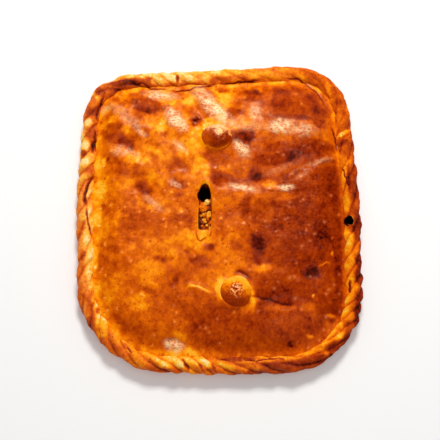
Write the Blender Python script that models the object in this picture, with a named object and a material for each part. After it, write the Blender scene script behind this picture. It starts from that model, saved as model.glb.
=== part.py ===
"""A large cheese and quince empanada: a flat pie of two sheets of dough, closed all round by
a rope of folded dough, with a vent cut in the lid and two dough buttons set on it.

Metres, +Z up. The origin is under the middle of the pie, on the surface that it rests on,
and -Y is the edge nearest the viewer. Far, near, left and right below are as seen from there.
"""

import math

import bmesh
import bpy
import numpy as np
from mathutils import Matrix, Vector

# Plan of the whole pie: x, y and rounding of each corner, counter-clockwise from the near left
CORNERS = (
    (-0.1388, -0.1578, 0.093),
    (0.1454, -0.1578, 0.081),
    (0.1348, 0.1612, 0.058),
    (-0.1404, 0.1470, 0.052),
)
SIDE_BOWS = (0.0010, 0.0030, 0.0000, 0.0030)  # swelling of the near, right, far and left sides

# The rope of folded dough
ROPE_REACH = 0.0085  # from its centre line out to the tip of a fold
STRAND_RADIUS = 0.0066  # of each of the two strands that the folds form
STRAND_SPREAD = ROPE_REACH - STRAND_RADIUS  # of a strand's centre from the rope's centre line
ROPE_LEVEL = 0.0145  # height of the centre line
ROPE_FLATTENING = 0.84  # its height over its width
ROPE_TURNS = 26  # full twists round the pie, with two folds in each
SIDE_FOLD = 0.017  # length of one fold along a side
CORNER_FOLD = 0.036  # and round a corner, where the dough is pulled long
STEPS_A_TURN = 10
PROFILE_POINTS = 10

# The lower sheet: a flat floor, and a flank that rises under the rope to a ledge for the lid
FLOOR_THICKNESS = 0.004
FLANK_LEVELS = ((-0.0015, 0.0), (0.0030, 0.0028), (0.0044, 0.0085))  # out from the rope's line, up
LEDGE_OUTSET = 0.0010  # of the ledge's outer edge, inside the rope
LEDGE_TOP = 0.0130
LEDGE_LEAN = 0.0020  # of the ledge's inner wall
LOWER_SHEET_POINTS = 104

# The lid
LID_THICKNESS = 0.0040
LID_INSET = ROPE_REACH + 0.0005  # the lid's edge, inwards from the rope's centre line
LID_SEAM_TOP = 0.0172  # top of the lid's edge, beside the rope
LID_SHOULDER = 0.0085  # rise of the lid just inside the rope
SHOULDER_WIDTH = 0.016
LID_CROWN = 0.0040  # further rise to the middle
MEAN_REACH = 0.150  # of the lid's edge from the middle, which levels the buttons' seats
LID_CELLS = (34, 38)
UNDERSIDE_CELLS = (16, 18)  # also the filling's, so that the two surfaces stay parallel

GAP = 0.0003  # between pieces that touch
SEAM_WIDTH = 0.0055  # of the lid's edge that lies on the ledge

# Swellings (+) and hollows (-) of the lid: x, y, half length, half width, turn in degrees, height
LID_FORMS = (
    (0.0780, 0.1160, 0.034, 0.022, 0, 0.0030),
    (0.0690, 0.0890, 0.036, 0.012, -8, 0.0026),
    (0.0830, 0.0640, 0.046, 0.011, 4, -0.0030),
    (0.0860, 0.0380, 0.050, 0.013, 10, 0.0026),
    (0.0230, 0.0380, 0.024, 0.013, -20, -0.0026),
    (0.0310, 0.0140, 0.034, 0.012, -4, 0.0022),
    (0.0370, -0.0280, 0.010, 0.030, 4, -0.0022),
    (-0.0110, 0.1100, 0.034, 0.011, -50, 0.0026),
    (-0.0410, 0.0920, 0.032, 0.010, -48, 0.0024),
    (-0.0230, 0.1140, 0.024, 0.010, -50, -0.0024),
    (-0.0710, 0.1080, 0.026, 0.011, -8, -0.0030),
    (-0.0890, 0.0720, 0.024, 0.013, -30, -0.0030),
    (-0.0760, 0.0270, 0.014, 0.012, 0, -0.0024),
    (0.0910, -0.0600, 0.016, 0.014, 0, -0.0020),
    (0.0610, -0.0830, 0.026, 0.012, -6, -0.0022),
    (-0.0170, -0.0900, 0.022, 0.014, -20, 0.0024),
    (-0.0380, -0.1300, 0.014, 0.012, 0, -0.0024),
    (-0.0890, -0.0480, 0.034, 0.026, 30, 0.0020),
    (-0.0130, -0.0290, 0.007, 0.006, 0, -0.0016),
)

# The vent: a slot with a narrow round far end, square at the near end
VENT_X = -0.0130
VENT_FAR_Y = 0.0290
VENT_WIDE_Y = 0.0140  # where it reaches its full width
VENT_NEAR_Y = -0.0220
VENT_HALF_WIDTH = 0.0058
VENT_FAR_RADIUS = 0.0032
VENT_HEM = 0.0015  # rounding of the near corners
VENT_DEPTH = 0.030  # of the cut, from above the lid down to the ledge's level
FAR_END_STEPS = 6

# What shows in the vent: x, y, height of the centre above the filling's own top, half sizes, turn
FILLING_LUMPS = (
    (-0.0105, 0.0105, 0.0004, (0.0026, 0.0024, 0.0024), 20),
    (-0.0142, 0.0068, 0.0000, (0.0034, 0.0036, 0.0030), 35),
    (-0.0100, -0.0010, 0.0002, (0.0026, 0.0032, 0.0026), 0),
    (-0.0148, -0.0042, 0.0000, (0.0030, 0.0034, 0.0022), 60),
    (-0.0108, -0.0092, 0.0000, (0.0030, 0.0036, 0.0026), -25),
    (-0.0152, -0.0130, 0.0002, (0.0026, 0.0038, 0.0022), 10),
    (-0.0102, -0.0176, -0.0004, (0.0028, 0.0030, 0.0024), 40),
)
LUMP_FINENESS = 1  # subdivisions of each lump
CUT_FINENESS = 2  # and of a round cut
FILLING_SHRINK = 0.0010  # from the lid's lower face down to the filling
FILLING_DIP = 0.0030  # how far the filling has sunk under the vent
DIP_REACH = (0.016, 0.036)  # half width and half length of that dip
PIT = (-0.0130, 0.0210, 0.0060, 0.0080, 0.0150)  # hollow at the vent's far end: x, y, radii, depth

# The dough buttons: x, y, half width and half depth of the seat, then their buns, each with
# x and y from the seat's middle, half width, half depth and height
BUTTONS = {
    "button_far": (
        (-0.001, 0.076, 0.0158, 0.0135),
        ((0.0020, 0.0000, 0.0138, 0.0134, 0.0112), (-0.0098, -0.0012, 0.0060, 0.0112, 0.0084)),
    ),
    "button_near": (
        (0.017, -0.080, 0.0168, 0.0165),
        ((0.0000, 0.0000, 0.0168, 0.0165, 0.0104),),
    ),
}
BUN_WIDEST = 0.0026  # height of a bun's widest ring above its foot
BUN_TUCK = 2.2  # depth of the full round below that ring, in units of the ring's height
BUN_SEGMENTS = (20, 12)  # round it, and from top to bottom
SEAT_MARGIN = 0.006  # round each button the lid is level this far out
SEAT_FADE = 0.006  # and from there it eases back to its own shape over this distance

# The burst hole between the lid and the rope on the right
BURST_HOLE = (0.1296, -0.011, 0.0190)
BURST_RADIUS = 0.0034

CRUST_COLOUR = (0.52, 0.17, 0.020)
LID_COLOUR = (0.47, 0.12, 0.012)
FILLING_COLOUR = (0.50, 0.17, 0.03)
BUTTON_COLOUR = (0.42, 0.10, 0.012)
SHARP_ANGLE = 50  # degrees; the folds' creases and the cut edges are shaded sharp


def clear_scene():
    for obj in list(bpy.data.objects):
        bpy.data.objects.remove(obj)


def collection(name):
    made = bpy.data.collections.new(name)
    bpy.context.scene.collection.children.link(made)
    return made


def material(name, colour, roughness):
    made = bpy.data.materials.new(name)
    made.use_nodes = True
    shader = made.node_tree.nodes["Principled BSDF"]
    shader.inputs["Base Color"].default_value = (*colour, 1.0)
    shader.inputs["Roughness"].default_value = roughness
    shader.inputs["Metallic"].default_value = 0.0
    made.diffuse_color = (*colour, 1.0)
    return made


def mesh_object(name, bm, home):
    bmesh.ops.recalc_face_normals(bm, faces=bm.faces)
    mesh = bpy.data.meshes.new(name)
    bm.to_mesh(mesh)
    bm.free()
    made = bpy.data.objects.new(name, mesh)
    home.objects.link(made)
    return made


def apply_modifiers(obj):
    """Replaces the object's mesh with what its modifiers make of it."""
    bpy.context.view_layer.update()
    graph = bpy.context.evaluated_depsgraph_get()
    result = bpy.data.meshes.new_from_object(obj.evaluated_get(graph))
    obj.modifiers.clear()
    obj.data = result


def boolean(obj, other, operation, solver="EXACT"):
    """Joins or cuts obj with other, which is then removed."""
    modifier = obj.modifiers.new(operation.lower(), "BOOLEAN")
    modifier.operation = operation
    modifier.solver = solver
    modifier.object = other
    apply_modifiers(obj)
    bpy.data.objects.remove(other)


def join_collection(obj, others):
    """Joins everything in a collection to obj in one union, and removes the collection."""
    modifier = obj.modifiers.new("join", "BOOLEAN")
    modifier.operation = "UNION"
    modifier.operand_type = "COLLECTION"
    modifier.collection = others
    apply_modifiers(obj)
    for other in list(others.objects):
        bpy.data.objects.remove(other)
    bpy.data.collections.remove(others)


def smooth_loop(values, width):
    """Moving average of samples round a closed loop."""
    padded = np.concatenate([values[-width:], values, values[:width]])
    window = np.ones(2 * width + 1) / (2 * width + 1)
    return np.convolve(padded, window, mode="valid")


class Plan:
    """The rope's centre line seen from above, as closely spaced points with outward normals."""

    SAMPLES = 2400
    ARC_STEPS = 40
    SMOOTHING = 24  # samples, which eases the start and end of each corner

    def __init__(self):
        points, bends = self.outer_edge()
        lengths = np.linalg.norm(np.roll(points, -1, axis=0) - points, axis=1)
        reached = np.concatenate([[0.0], np.cumsum(lengths)])
        even = np.linspace(0.0, reached[-1], self.SAMPLES, endpoint=False)
        looped = np.vstack([points, points[:1]])
        columns = [np.interp(even, reached, looped[:, axis]) for axis in (0, 1)]
        edge = np.stack([smooth_loop(column, self.SMOOTHING) for column in columns], axis=1)
        ahead = np.roll(edge, -1, axis=0) - np.roll(edge, 1, axis=0)
        ahead /= np.linalg.norm(ahead, axis=1)[:, None]
        self.normals = np.stack([ahead[:, 1], -ahead[:, 0]], axis=1)
        self.line = edge - self.normals * ROPE_REACH
        steps = np.linalg.norm(np.roll(self.line, -1, axis=0) - self.line, axis=1)
        bend = np.interp(even, reached, np.append(bends, bends[0]))
        fold = SIDE_FOLD + (CORNER_FOLD - SIDE_FOLD) * smooth_loop(bend, self.SMOOTHING)
        twist = np.concatenate([[0.0], np.cumsum(steps * math.pi / fold)])
        self.twist = twist / twist[-1] * ROPE_TURNS * math.tau

    def outer_edge(self):
        """Points on the four rounded corners and bowed sides, and for each 1 in a corner, else 0."""
        arcs = []
        for i, (x, y, radius) in enumerate(CORNERS):
            corner = np.array((x, y))
            back = np.array(CORNERS[i - 1][:2]) - corner
            ahead = np.array(CORNERS[(i + 1) % 4][:2]) - corner
            back /= np.linalg.norm(back)
            ahead /= np.linalg.norm(ahead)
            half = math.acos(np.dot(back, ahead)) / 2
            middle = (back + ahead) / np.linalg.norm(back + ahead)
            centre = corner + middle * radius / math.sin(half)
            start = corner + back * radius / math.tan(half) - centre
            turn = np.linspace(0.0, math.pi - 2 * half, self.ARC_STEPS)
            spun_x = start[0] * np.cos(turn) - start[1] * np.sin(turn)
            spun_y = start[0] * np.sin(turn) + start[1] * np.cos(turn)
            arcs.append(centre + np.stack([spun_x, spun_y], axis=1))
        points, bends = [], []
        for i, arc in enumerate(arcs):
            points.append(arc)
            bends.append(np.ones(len(arc)))
            side = arcs[(i + 1) % 4][0] - arc[-1]
            outward = np.array((side[1], -side[0])) / np.linalg.norm(side)
            along = np.linspace(0.0, 1.0, self.ARC_STEPS + 2)[1:-1, None]
            bow = SIDE_BOWS[i] * np.sin(math.pi * along) ** 2
            points.append(arc[-1] + side * along + outward * bow)
            bends.append(np.zeros(self.ARC_STEPS))
        return np.vstack(points), np.concatenate(bends)

    def loop(self, offset, count):
        """Evenly spaced points on the line offset outwards from the centre line."""
        chosen = np.arange(count) * self.SAMPLES // count
        return (self.line + self.normals * offset)[chosen]

    def reach(self, offset):
        """A function from directions to how far out the offset line lies that way."""
        points = self.line + self.normals * offset
        angles = np.arctan2(points[:, 1], points[:, 0])
        order = np.argsort(angles)
        radii = np.linalg.norm(points, axis=1)[order]
        return lambda direction: np.interp(direction, angles[order], radii, period=math.tau)


def lid_rise(x, y):
    """The share of the lid's shoulder that it has climbed, and its height without its forms."""
    edge = PLAN.reach(-LID_INSET)(np.arctan2(y, x))
    radius = np.hypot(x, y)
    inward = np.clip(edge - radius, 0.0, None)
    shoulder = 1.0 - np.exp(-((inward / SHOULDER_WIDTH) ** 1.5))
    return shoulder, LID_SEAM_TOP + LID_SHOULDER * shoulder + LID_CROWN * (1 - (radius / edge) ** 2)


def lid_height(x, y):
    """Height of the lid's upper face, with its swellings, its hollows and the buttons' seats."""
    shoulder, height = lid_rise(x, y)
    for cx, cy, length, width, turn, rise in LID_FORMS:
        angle = math.radians(turn)
        along = (x - cx) * math.cos(angle) + (y - cy) * math.sin(angle)
        across = (y - cy) * math.cos(angle) - (x - cx) * math.sin(angle)
        height = height + rise * np.exp(-((along / length) ** 2) - (across / width) ** 2) * shoulder
    for (cx, cy, half_width, half_depth), _ in BUTTONS.values():
        beyond = (np.hypot((x - cx) / half_width, (y - cy) / half_depth) - 1.0) * half_width
        blend = np.clip(1.0 + (SEAT_MARGIN - beyond) / SEAT_FADE, 0.0, 1.0)
        height = height + (seat_level(cx, cy) - height) * blend
    return height


def seat_level(cx, cy):
    """Height of the lid's level patch under a button."""
    return LID_SEAM_TOP + LID_SHOULDER + LID_CROWN * (1 - (math.hypot(cx, cy) / MEAN_REACH) ** 2)


def dome(name, offset, cells, floor, height, home):
    """A solid that fills the offset line from a flat floor up to height(x, y)."""
    edge = PLAN.reach(offset)
    bm = bmesh.new()
    bmesh.ops.create_grid(bm, x_segments=cells[0], y_segments=cells[1], size=1.0)
    for vert in bm.verts:
        square = max(abs(vert.co.x), abs(vert.co.y))
        if square < 1e-9:
            continue
        direction = math.atan2(vert.co.y, vert.co.x)
        stretch = square * float(edge(direction)) / math.hypot(vert.co.x, vert.co.y)
        vert.co.x *= stretch
        vert.co.y *= stretch
    places = np.array([vert.co[:2] for vert in bm.verts])
    for vert, top in zip(bm.verts, height(places[:, 0], places[:, 1])):
        vert.co.z = top
    rim = [e for e in bm.edges if e.is_boundary]
    skirt = bmesh.ops.extrude_edge_only(bm, edges=rim)["geom"]
    for vert in (part for part in skirt if isinstance(part, bmesh.types.BMVert)):
        vert.co.z = floor
    foot = [e for e in bm.edges if e.is_boundary]
    bmesh.ops.contextual_create(bm, geom=foot)
    return mesh_object(name, bm, home)


def make_lower_sheet(home):
    """The floor, flank and ledge of the lower sheet, lofted through rings round the pie."""
    rings = FLANK_LEVELS + (
        (LEDGE_OUTSET, LEDGE_TOP),
        (-LID_INSET - SEAM_WIDTH, LEDGE_TOP),
        (-LID_INSET - SEAM_WIDTH - LEDGE_LEAN, FLOOR_THICKNESS),
    )
    bm = bmesh.new()
    loops = []
    for offset, height in rings:
        corners = PLAN.loop(offset, LOWER_SHEET_POINTS)
        loops.append([bm.verts.new((x, y, height)) for x, y in corners])
    for lower, upper in zip(loops, loops[1:]):
        for i in range(LOWER_SHEET_POINTS):
            j = (i + 1) % LOWER_SHEET_POINTS
            bm.faces.new((lower[i], lower[j], upper[j], upper[i]))
    bm.faces.new(loops[0])
    bm.faces.new(loops[-1])
    return mesh_object("crust", bm, home)


def make_rope(home):
    """The rope: the outline of two strands side by side, swept along the centre line as it turns."""
    profile = bpy.data.curves.new("fold_profile", "CURVE")
    profile.dimensions = "2D"
    ring = profile.splines.new("POLY")
    ring.points.add(PROFILE_POINTS - 1)
    for i, point in enumerate(ring.points):
        angle = math.tau * (i + 0.5) / PROFILE_POINTS
        across = STRAND_SPREAD * abs(math.cos(angle))
        out = across + math.sqrt(STRAND_RADIUS**2 - (STRAND_SPREAD * math.sin(angle)) ** 2)
        point.co = (out * math.cos(angle), out * math.sin(angle), 0.0, 1.0)
    ring.use_cyclic_u = True
    guide = bpy.data.objects.new("fold_profile", profile)
    home.objects.link(guide)

    curve = bpy.data.curves.new("rope", "CURVE")
    curve.dimensions = "3D"
    curve.twist_mode = "Z_UP"
    curve.bevel_mode = "OBJECT"
    curve.bevel_object = guide
    spline = curve.splines.new("POLY")
    count = ROPE_TURNS * STEPS_A_TURN
    spline.points.add(count - 1)
    for i, point in enumerate(spline.points):
        turn = math.tau * i / STEPS_A_TURN
        place = int(np.searchsorted(PLAN.twist, turn)) % Plan.SAMPLES
        x, y = PLAN.line[place]
        point.co = (x, y, 0.0, 1.0)
        point.tilt = turn
    spline.use_cyclic_u = True
    swept = bpy.data.objects.new("rope_curve", curve)
    home.objects.link(swept)
    bpy.context.view_layer.update()
    graph = bpy.context.evaluated_depsgraph_get()
    mesh = bpy.data.meshes.new_from_object(swept.evaluated_get(graph))
    bpy.data.objects.remove(swept)
    bpy.data.objects.remove(guide)
    for vert in mesh.vertices:
        vert.co.z = vert.co.z * ROPE_FLATTENING + ROPE_LEVEL
    bm = bmesh.new()
    bm.from_mesh(mesh)
    bmesh.ops.triangulate(bm, faces=bm.faces, quad_method="SHORT_EDGE")
    return mesh_object("rope", bm, home)


def ball(name, centre, half_sizes, turn, fineness, home):
    """A rounded lump with the given half sizes, turned about the vertical."""
    bm = bmesh.new()
    bmesh.ops.create_icosphere(bm, subdivisions=fineness, radius=1.0)
    bmesh.ops.scale(bm, vec=half_sizes, verts=bm.verts)
    spin = Matrix.Rotation(math.radians(turn), 3, "Z")
    bmesh.ops.rotate(bm, cent=(0.0, 0.0, 0.0), matrix=spin, verts=bm.verts)
    bmesh.ops.translate(bm, vec=centre, verts=bm.verts)
    return mesh_object(name, bm, home)


def burst_hole(home):
    """A round cutter where the dough burst between the lid and the rope."""
    return ball("burst_hole", BURST_HOLE, (BURST_RADIUS,) * 3, 0, CUT_FINENESS, home)


def vent_cutter(home):
    """A prism of the vent's outline, tall enough to pass through the lid."""
    outline = []
    far_centre = VENT_FAR_Y - VENT_FAR_RADIUS
    for step in range(FAR_END_STEPS + 1):
        angle = math.pi * step / FAR_END_STEPS
        rise = VENT_FAR_RADIUS * math.sin(angle)
        outline.append((VENT_FAR_RADIUS * math.cos(angle), far_centre + rise))
    near = VENT_NEAR_Y + VENT_HEM
    inner = VENT_HALF_WIDTH - VENT_HEM
    outline.append((-VENT_HALF_WIDTH, VENT_WIDE_Y))
    outline.append((-VENT_HALF_WIDTH, near))
    outline.append((-inner, VENT_NEAR_Y))
    outline.append((inner, VENT_NEAR_Y))
    outline.append((VENT_HALF_WIDTH, near))
    outline.append((VENT_HALF_WIDTH, VENT_WIDE_Y))
    bm = bmesh.new()
    face = bm.faces.new([bm.verts.new((VENT_X + x, y, LEDGE_TOP)) for x, y in outline])
    raised = bmesh.ops.extrude_face_region(bm, geom=[face])["geom"]
    top = [part for part in raised if isinstance(part, bmesh.types.BMVert)]
    bmesh.ops.translate(bm, vec=(0.0, 0.0, VENT_DEPTH), verts=top)
    return mesh_object("vent_cutter", bm, home)


def make_crust(home, cutters):
    """The lower sheet and the rope in one piece."""
    crust = make_lower_sheet(home)
    boolean(crust, make_rope(cutters), "UNION")
    boolean(crust, burst_hole(cutters), "DIFFERENCE")
    return crust


def underside(x, y):
    """Height of the lid's lower face, which is smoother than its upper face."""
    return lid_rise(x, y)[1] - LID_THICKNESS


def make_lid(home, cutters):
    bottom = LEDGE_TOP + GAP
    lid = dome("lid", -LID_INSET, LID_CELLS, bottom, lid_height, home)
    below = bottom - LID_THICKNESS
    inner = -LID_INSET - SEAM_WIDTH
    hollow = dome("lid_hollow", inner, UNDERSIDE_CELLS, below, underside, cutters)
    boolean(lid, hollow, "DIFFERENCE")
    boolean(lid, vent_cutter(cutters), "DIFFERENCE")
    boolean(lid, burst_hole(cutters), "DIFFERENCE")
    return lid


def filling_height(x, y):
    """The filling meets the lid's lower face, and has sunk a little under the vent."""
    across = (x - VENT_X) / DIP_REACH[0]
    along = (y - (VENT_FAR_Y + VENT_NEAR_Y) / 2) / DIP_REACH[1]
    return underside(x, y) - FILLING_SHRINK - FILLING_DIP * np.exp(-(across**4) - along**4)


def make_filling(home, cutters):
    offset = -LID_INSET - SEAM_WIDTH - LEDGE_LEAN - GAP
    floor = FLOOR_THICKNESS + GAP
    filling = dome("filling", offset, UNDERSIDE_CELLS, floor, filling_height, home)
    lumps = collection("lumps")
    for x, y, lift, half_sizes, turn in FILLING_LUMPS:
        level = filling_level(x, y) + lift
        ball("lump", (x, y, level), half_sizes, turn, LUMP_FINENESS, lumps)
    join_collection(filling, lumps)
    x, y, half_width, half_length, depth = PIT
    middle = (x, y, filling_level(x, y))
    pit = ball("pit", middle, (half_width, half_length, depth), 0, CUT_FINENESS, cutters)
    boolean(filling, pit, "DIFFERENCE")
    return filling


def filling_level(x, y):
    """The filling's height at one place."""
    return float(filling_height(np.array([x]), np.array([y]))[0])


def make_bun(name, centre, half_width, half_depth, height, home):
    """A bun of dough, widest just above its flat foot; centre is the middle of the foot."""
    bm = bmesh.new()
    around, down = BUN_SEGMENTS
    bmesh.ops.create_uvsphere(bm, u_segments=around, v_segments=down, radius=1.0)
    for vert in bm.verts:
        scale = height - BUN_WIDEST if vert.co.z > 0 else BUN_TUCK * BUN_WIDEST
        vert.co = (vert.co.x * half_width, vert.co.y * half_depth, vert.co.z * scale)
    every = list(bm.verts) + list(bm.edges) + list(bm.faces)
    plane = {"plane_co": (0, 0, -BUN_WIDEST), "plane_no": (0, 0, -1)}
    cut = bmesh.ops.bisect_plane(bm, geom=every, clear_outer=True, **plane)["geom_cut"]
    foot = [part for part in cut if isinstance(part, bmesh.types.BMEdge)]
    bmesh.ops.contextual_create(bm, geom=foot)
    bmesh.ops.translate(bm, vec=Vector(centre) + Vector((0, 0, BUN_WIDEST)), verts=bm.verts)
    return mesh_object(name, bm, home)


def make_button(name, home):
    """A dough button on its seat: one bun, or two pinched together."""
    (x, y, _, _), buns = BUTTONS[name]
    button = None
    for dx, dy, half_width, half_depth, height in buns:
        foot = (x + dx, y + dy, seat_level(x, y) + GAP)
        bun = make_bun(name, foot, half_width, half_depth, height, home)
        if button is None:
            button = bun
        else:
            boolean(button, bun, "UNION")
    return button


clear_scene()
PLAN = Plan()
pie = collection("empanada")
cutting = collection("cutters")
finishes = (
    (make_crust(pie, cutting), material("baked_crust", CRUST_COLOUR, 0.45)),
    (make_lid(pie, cutting), material("glazed_lid", LID_COLOUR, 0.30)),
    (make_filling(pie, cutting), material("cheese_quince_filling", FILLING_COLOUR, 0.40)),
    (make_button("button_far", pie), material("far_button_glaze", BUTTON_COLOUR, 0.30)),
    (make_button("button_near", pie), material("near_button_glaze", BUTTON_COLOUR, 0.30)),
)
for piece, finish in finishes:
    piece.data.materials.clear()
    piece.data.materials.append(finish)
    piece.data.shade_smooth()
    piece.data.set_sharp_from_angle(angle=math.radians(SHARP_ANGLE))
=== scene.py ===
import math

import bpy
import numpy as np
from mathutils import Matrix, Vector, noise


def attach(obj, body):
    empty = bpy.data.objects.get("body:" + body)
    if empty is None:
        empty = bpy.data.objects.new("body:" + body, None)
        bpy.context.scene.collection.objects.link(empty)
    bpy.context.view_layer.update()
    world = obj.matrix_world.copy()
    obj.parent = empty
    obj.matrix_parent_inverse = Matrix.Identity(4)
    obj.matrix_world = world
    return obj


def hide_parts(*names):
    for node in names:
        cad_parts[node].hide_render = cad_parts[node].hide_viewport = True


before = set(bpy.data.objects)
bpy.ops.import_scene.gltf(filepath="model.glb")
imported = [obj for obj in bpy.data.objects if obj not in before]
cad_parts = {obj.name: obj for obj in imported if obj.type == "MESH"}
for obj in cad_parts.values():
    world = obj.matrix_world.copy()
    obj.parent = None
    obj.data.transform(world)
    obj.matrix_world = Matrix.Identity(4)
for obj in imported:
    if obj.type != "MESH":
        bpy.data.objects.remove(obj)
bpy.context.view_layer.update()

# The lower sheet of dough: a flat floor that lay on the tray, and a flank that turns up all
# round to the rope. It is one rolled sheet, browned underneath and paler where the rope shades it.
MM = 0.001  # places are in millimetres, with +X to the right and +Y to the far side
SEAM_TOP = 17.2  # level of the seam, where the lid's edge lies under the rope
SEAM_SAMPLES = 1440
ROPE_OUTSET = 9.0  # from the seam to the rope's centre line
SHEET_POINTS = 720
SHEET_RINGS = (  # out from the rope's centre line, and up: from the floor's edge over the flank
    (-1.5, 0.0), (0.6, 0.4), (2.4, 1.8), (3.8, 4.4), (4.4, 7.6), (3.6, 10.4), (1.0, 13.0),
    (-6.0, 13.0), (-8.5, 13.0), (-11.0, 13.0), (-14.5, 13.0), (-16.5, 4.0),
)
FLANK_TOP_RING = 6
FLANK_NOISE = 0.5
RING_STEP = 1000.0  # between rings that are pulled up one by one, before they are laid in place
BURST = (131.2, -8.4)  # where filling burst out between lid and rope: the sheet below it is painted dark as the hole's shade
HOLE_SHADE_REACH = 6.5


def smooth_loop(values, width):
    """Moving average of samples round a closed loop."""
    padded = np.concatenate([values[-width:], values, values[:width]])
    return np.convolve(padded, np.ones(2 * width + 1) / (2 * width + 1), mode="valid")


def even_loop(points, count):
    """The same closed line with evenly spaced points, and the line's length."""
    lengths = np.linalg.norm(np.roll(points, -1, axis=0) - points, axis=1)
    reached = np.concatenate([[0.0], np.cumsum(lengths)])
    even = np.linspace(0.0, reached[-1], count, endpoint=False)
    looped = np.vstack([points, points[:1]])
    return np.stack([np.interp(even, reached, looped[:, i]) for i in (0, 1)], axis=1), reached[-1]


def outward(points):
    """Normals that point out of a closed line that runs counter-clockwise."""
    ahead = np.roll(points, -1, axis=0) - np.roll(points, 1, axis=0)
    ahead /= np.linalg.norm(ahead, axis=1)[:, None]
    return np.stack([ahead[:, 1], -ahead[:, 0]], axis=1)


def unevenness(places, size, seed):
    """Smooth random values, about -0.6 to 0.6, that change over about the given size."""
    shift = Vector((seed * 7.31, seed * 3.77, seed * 1.93))
    return np.array([noise.noise(Vector(p) / size + shift) for p in places.tolist()])


def select_only(piece):
    for other in list(bpy.context.selected_objects):
        other.select_set(False)
    piece.select_set(True)
    bpy.context.view_layer.objects.active = piece


def name_new(name):
    """Names the piece that was just added, and leaves nothing else selected."""
    piece = bpy.context.object
    piece.name = name
    piece.data.name = name
    select_only(piece)
    return piece


def places_of(piece):
    """The piece's vertices in millimetres."""
    flat = np.empty(len(piece.data.vertices) * 3, np.float32)
    piece.data.vertices.foreach_get("co", flat)
    return flat.reshape(-1, 3).astype(float) / MM


def set_places(piece, places):
    piece.data.vertices.foreach_set("co", (places * MM).astype(np.float32).ravel())
    piece.data.update()


def ring_and_turn(pulled, points):
    """The ring that each pulled-up vertex belongs to, and its number in the ring."""
    turn = np.arctan2(pulled[:, 1], pulled[:, 0]) / math.tau * points
    return np.rint(pulled[:, 2] / RING_STEP).astype(int), np.rint(turn).astype(int) % points


def face_outwards():
    """Turns all faces of the piece in hand outwards."""
    bpy.ops.object.mode_set(mode="EDIT")
    bpy.ops.mesh.select_all(action="SELECT")
    bpy.ops.mesh.normals_make_consistent(inside=False)
    bpy.ops.object.mode_set(mode="OBJECT")


def paint(piece, name, values):
    """Stores one number for each vertex, for the material to read."""
    layer = piece.data.attributes.new(name, "FLOAT", "POINT")
    layer.data.foreach_set("value", np.asarray(values, np.float32))


def smooth_shade(piece, degrees):
    select_only(piece)
    bpy.ops.object.shade_smooth_by_angle(angle=math.radians(degrees))


def colour(*looks):
    """A colour as it looks, 0 to 255, in the values that a shader takes."""
    linear = [((c / 255 + 0.055) / 1.055) ** 2.4 if c > 10 else c / 3295 for c in looks]
    return (*linear, 1.0)


BROWNING = (  # dough brushed with egg: pale where it lay folded away, yellow, orange, brown, burnt
    (0.00, (255, 224, 156)), (0.05, (255, 198, 80)), (0.11, (255, 178, 26)), (0.19, (253, 155, 7)),
    (0.27, (247, 132, 3)), (0.37, (230, 107, 2)), (0.47, (210, 87, 1)), (0.57, (190, 71, 1)),
    (0.67, (169, 55, 1)), (0.77, (146, 40, 1)), (0.86, (120, 25, 1)), (0.93, (86, 13, 1)),
    (0.97, (42, 7, 2)), (1.00, (8, 3, 2)),
)
# Colour of the painted glare: pale reflections of the window painted into the base colour.
PAINTED_GLARE_COLOUR = (243, 205, 154)
GLAZE_TINT = (1.0, 0.86, 0.60, 1.0)


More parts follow.
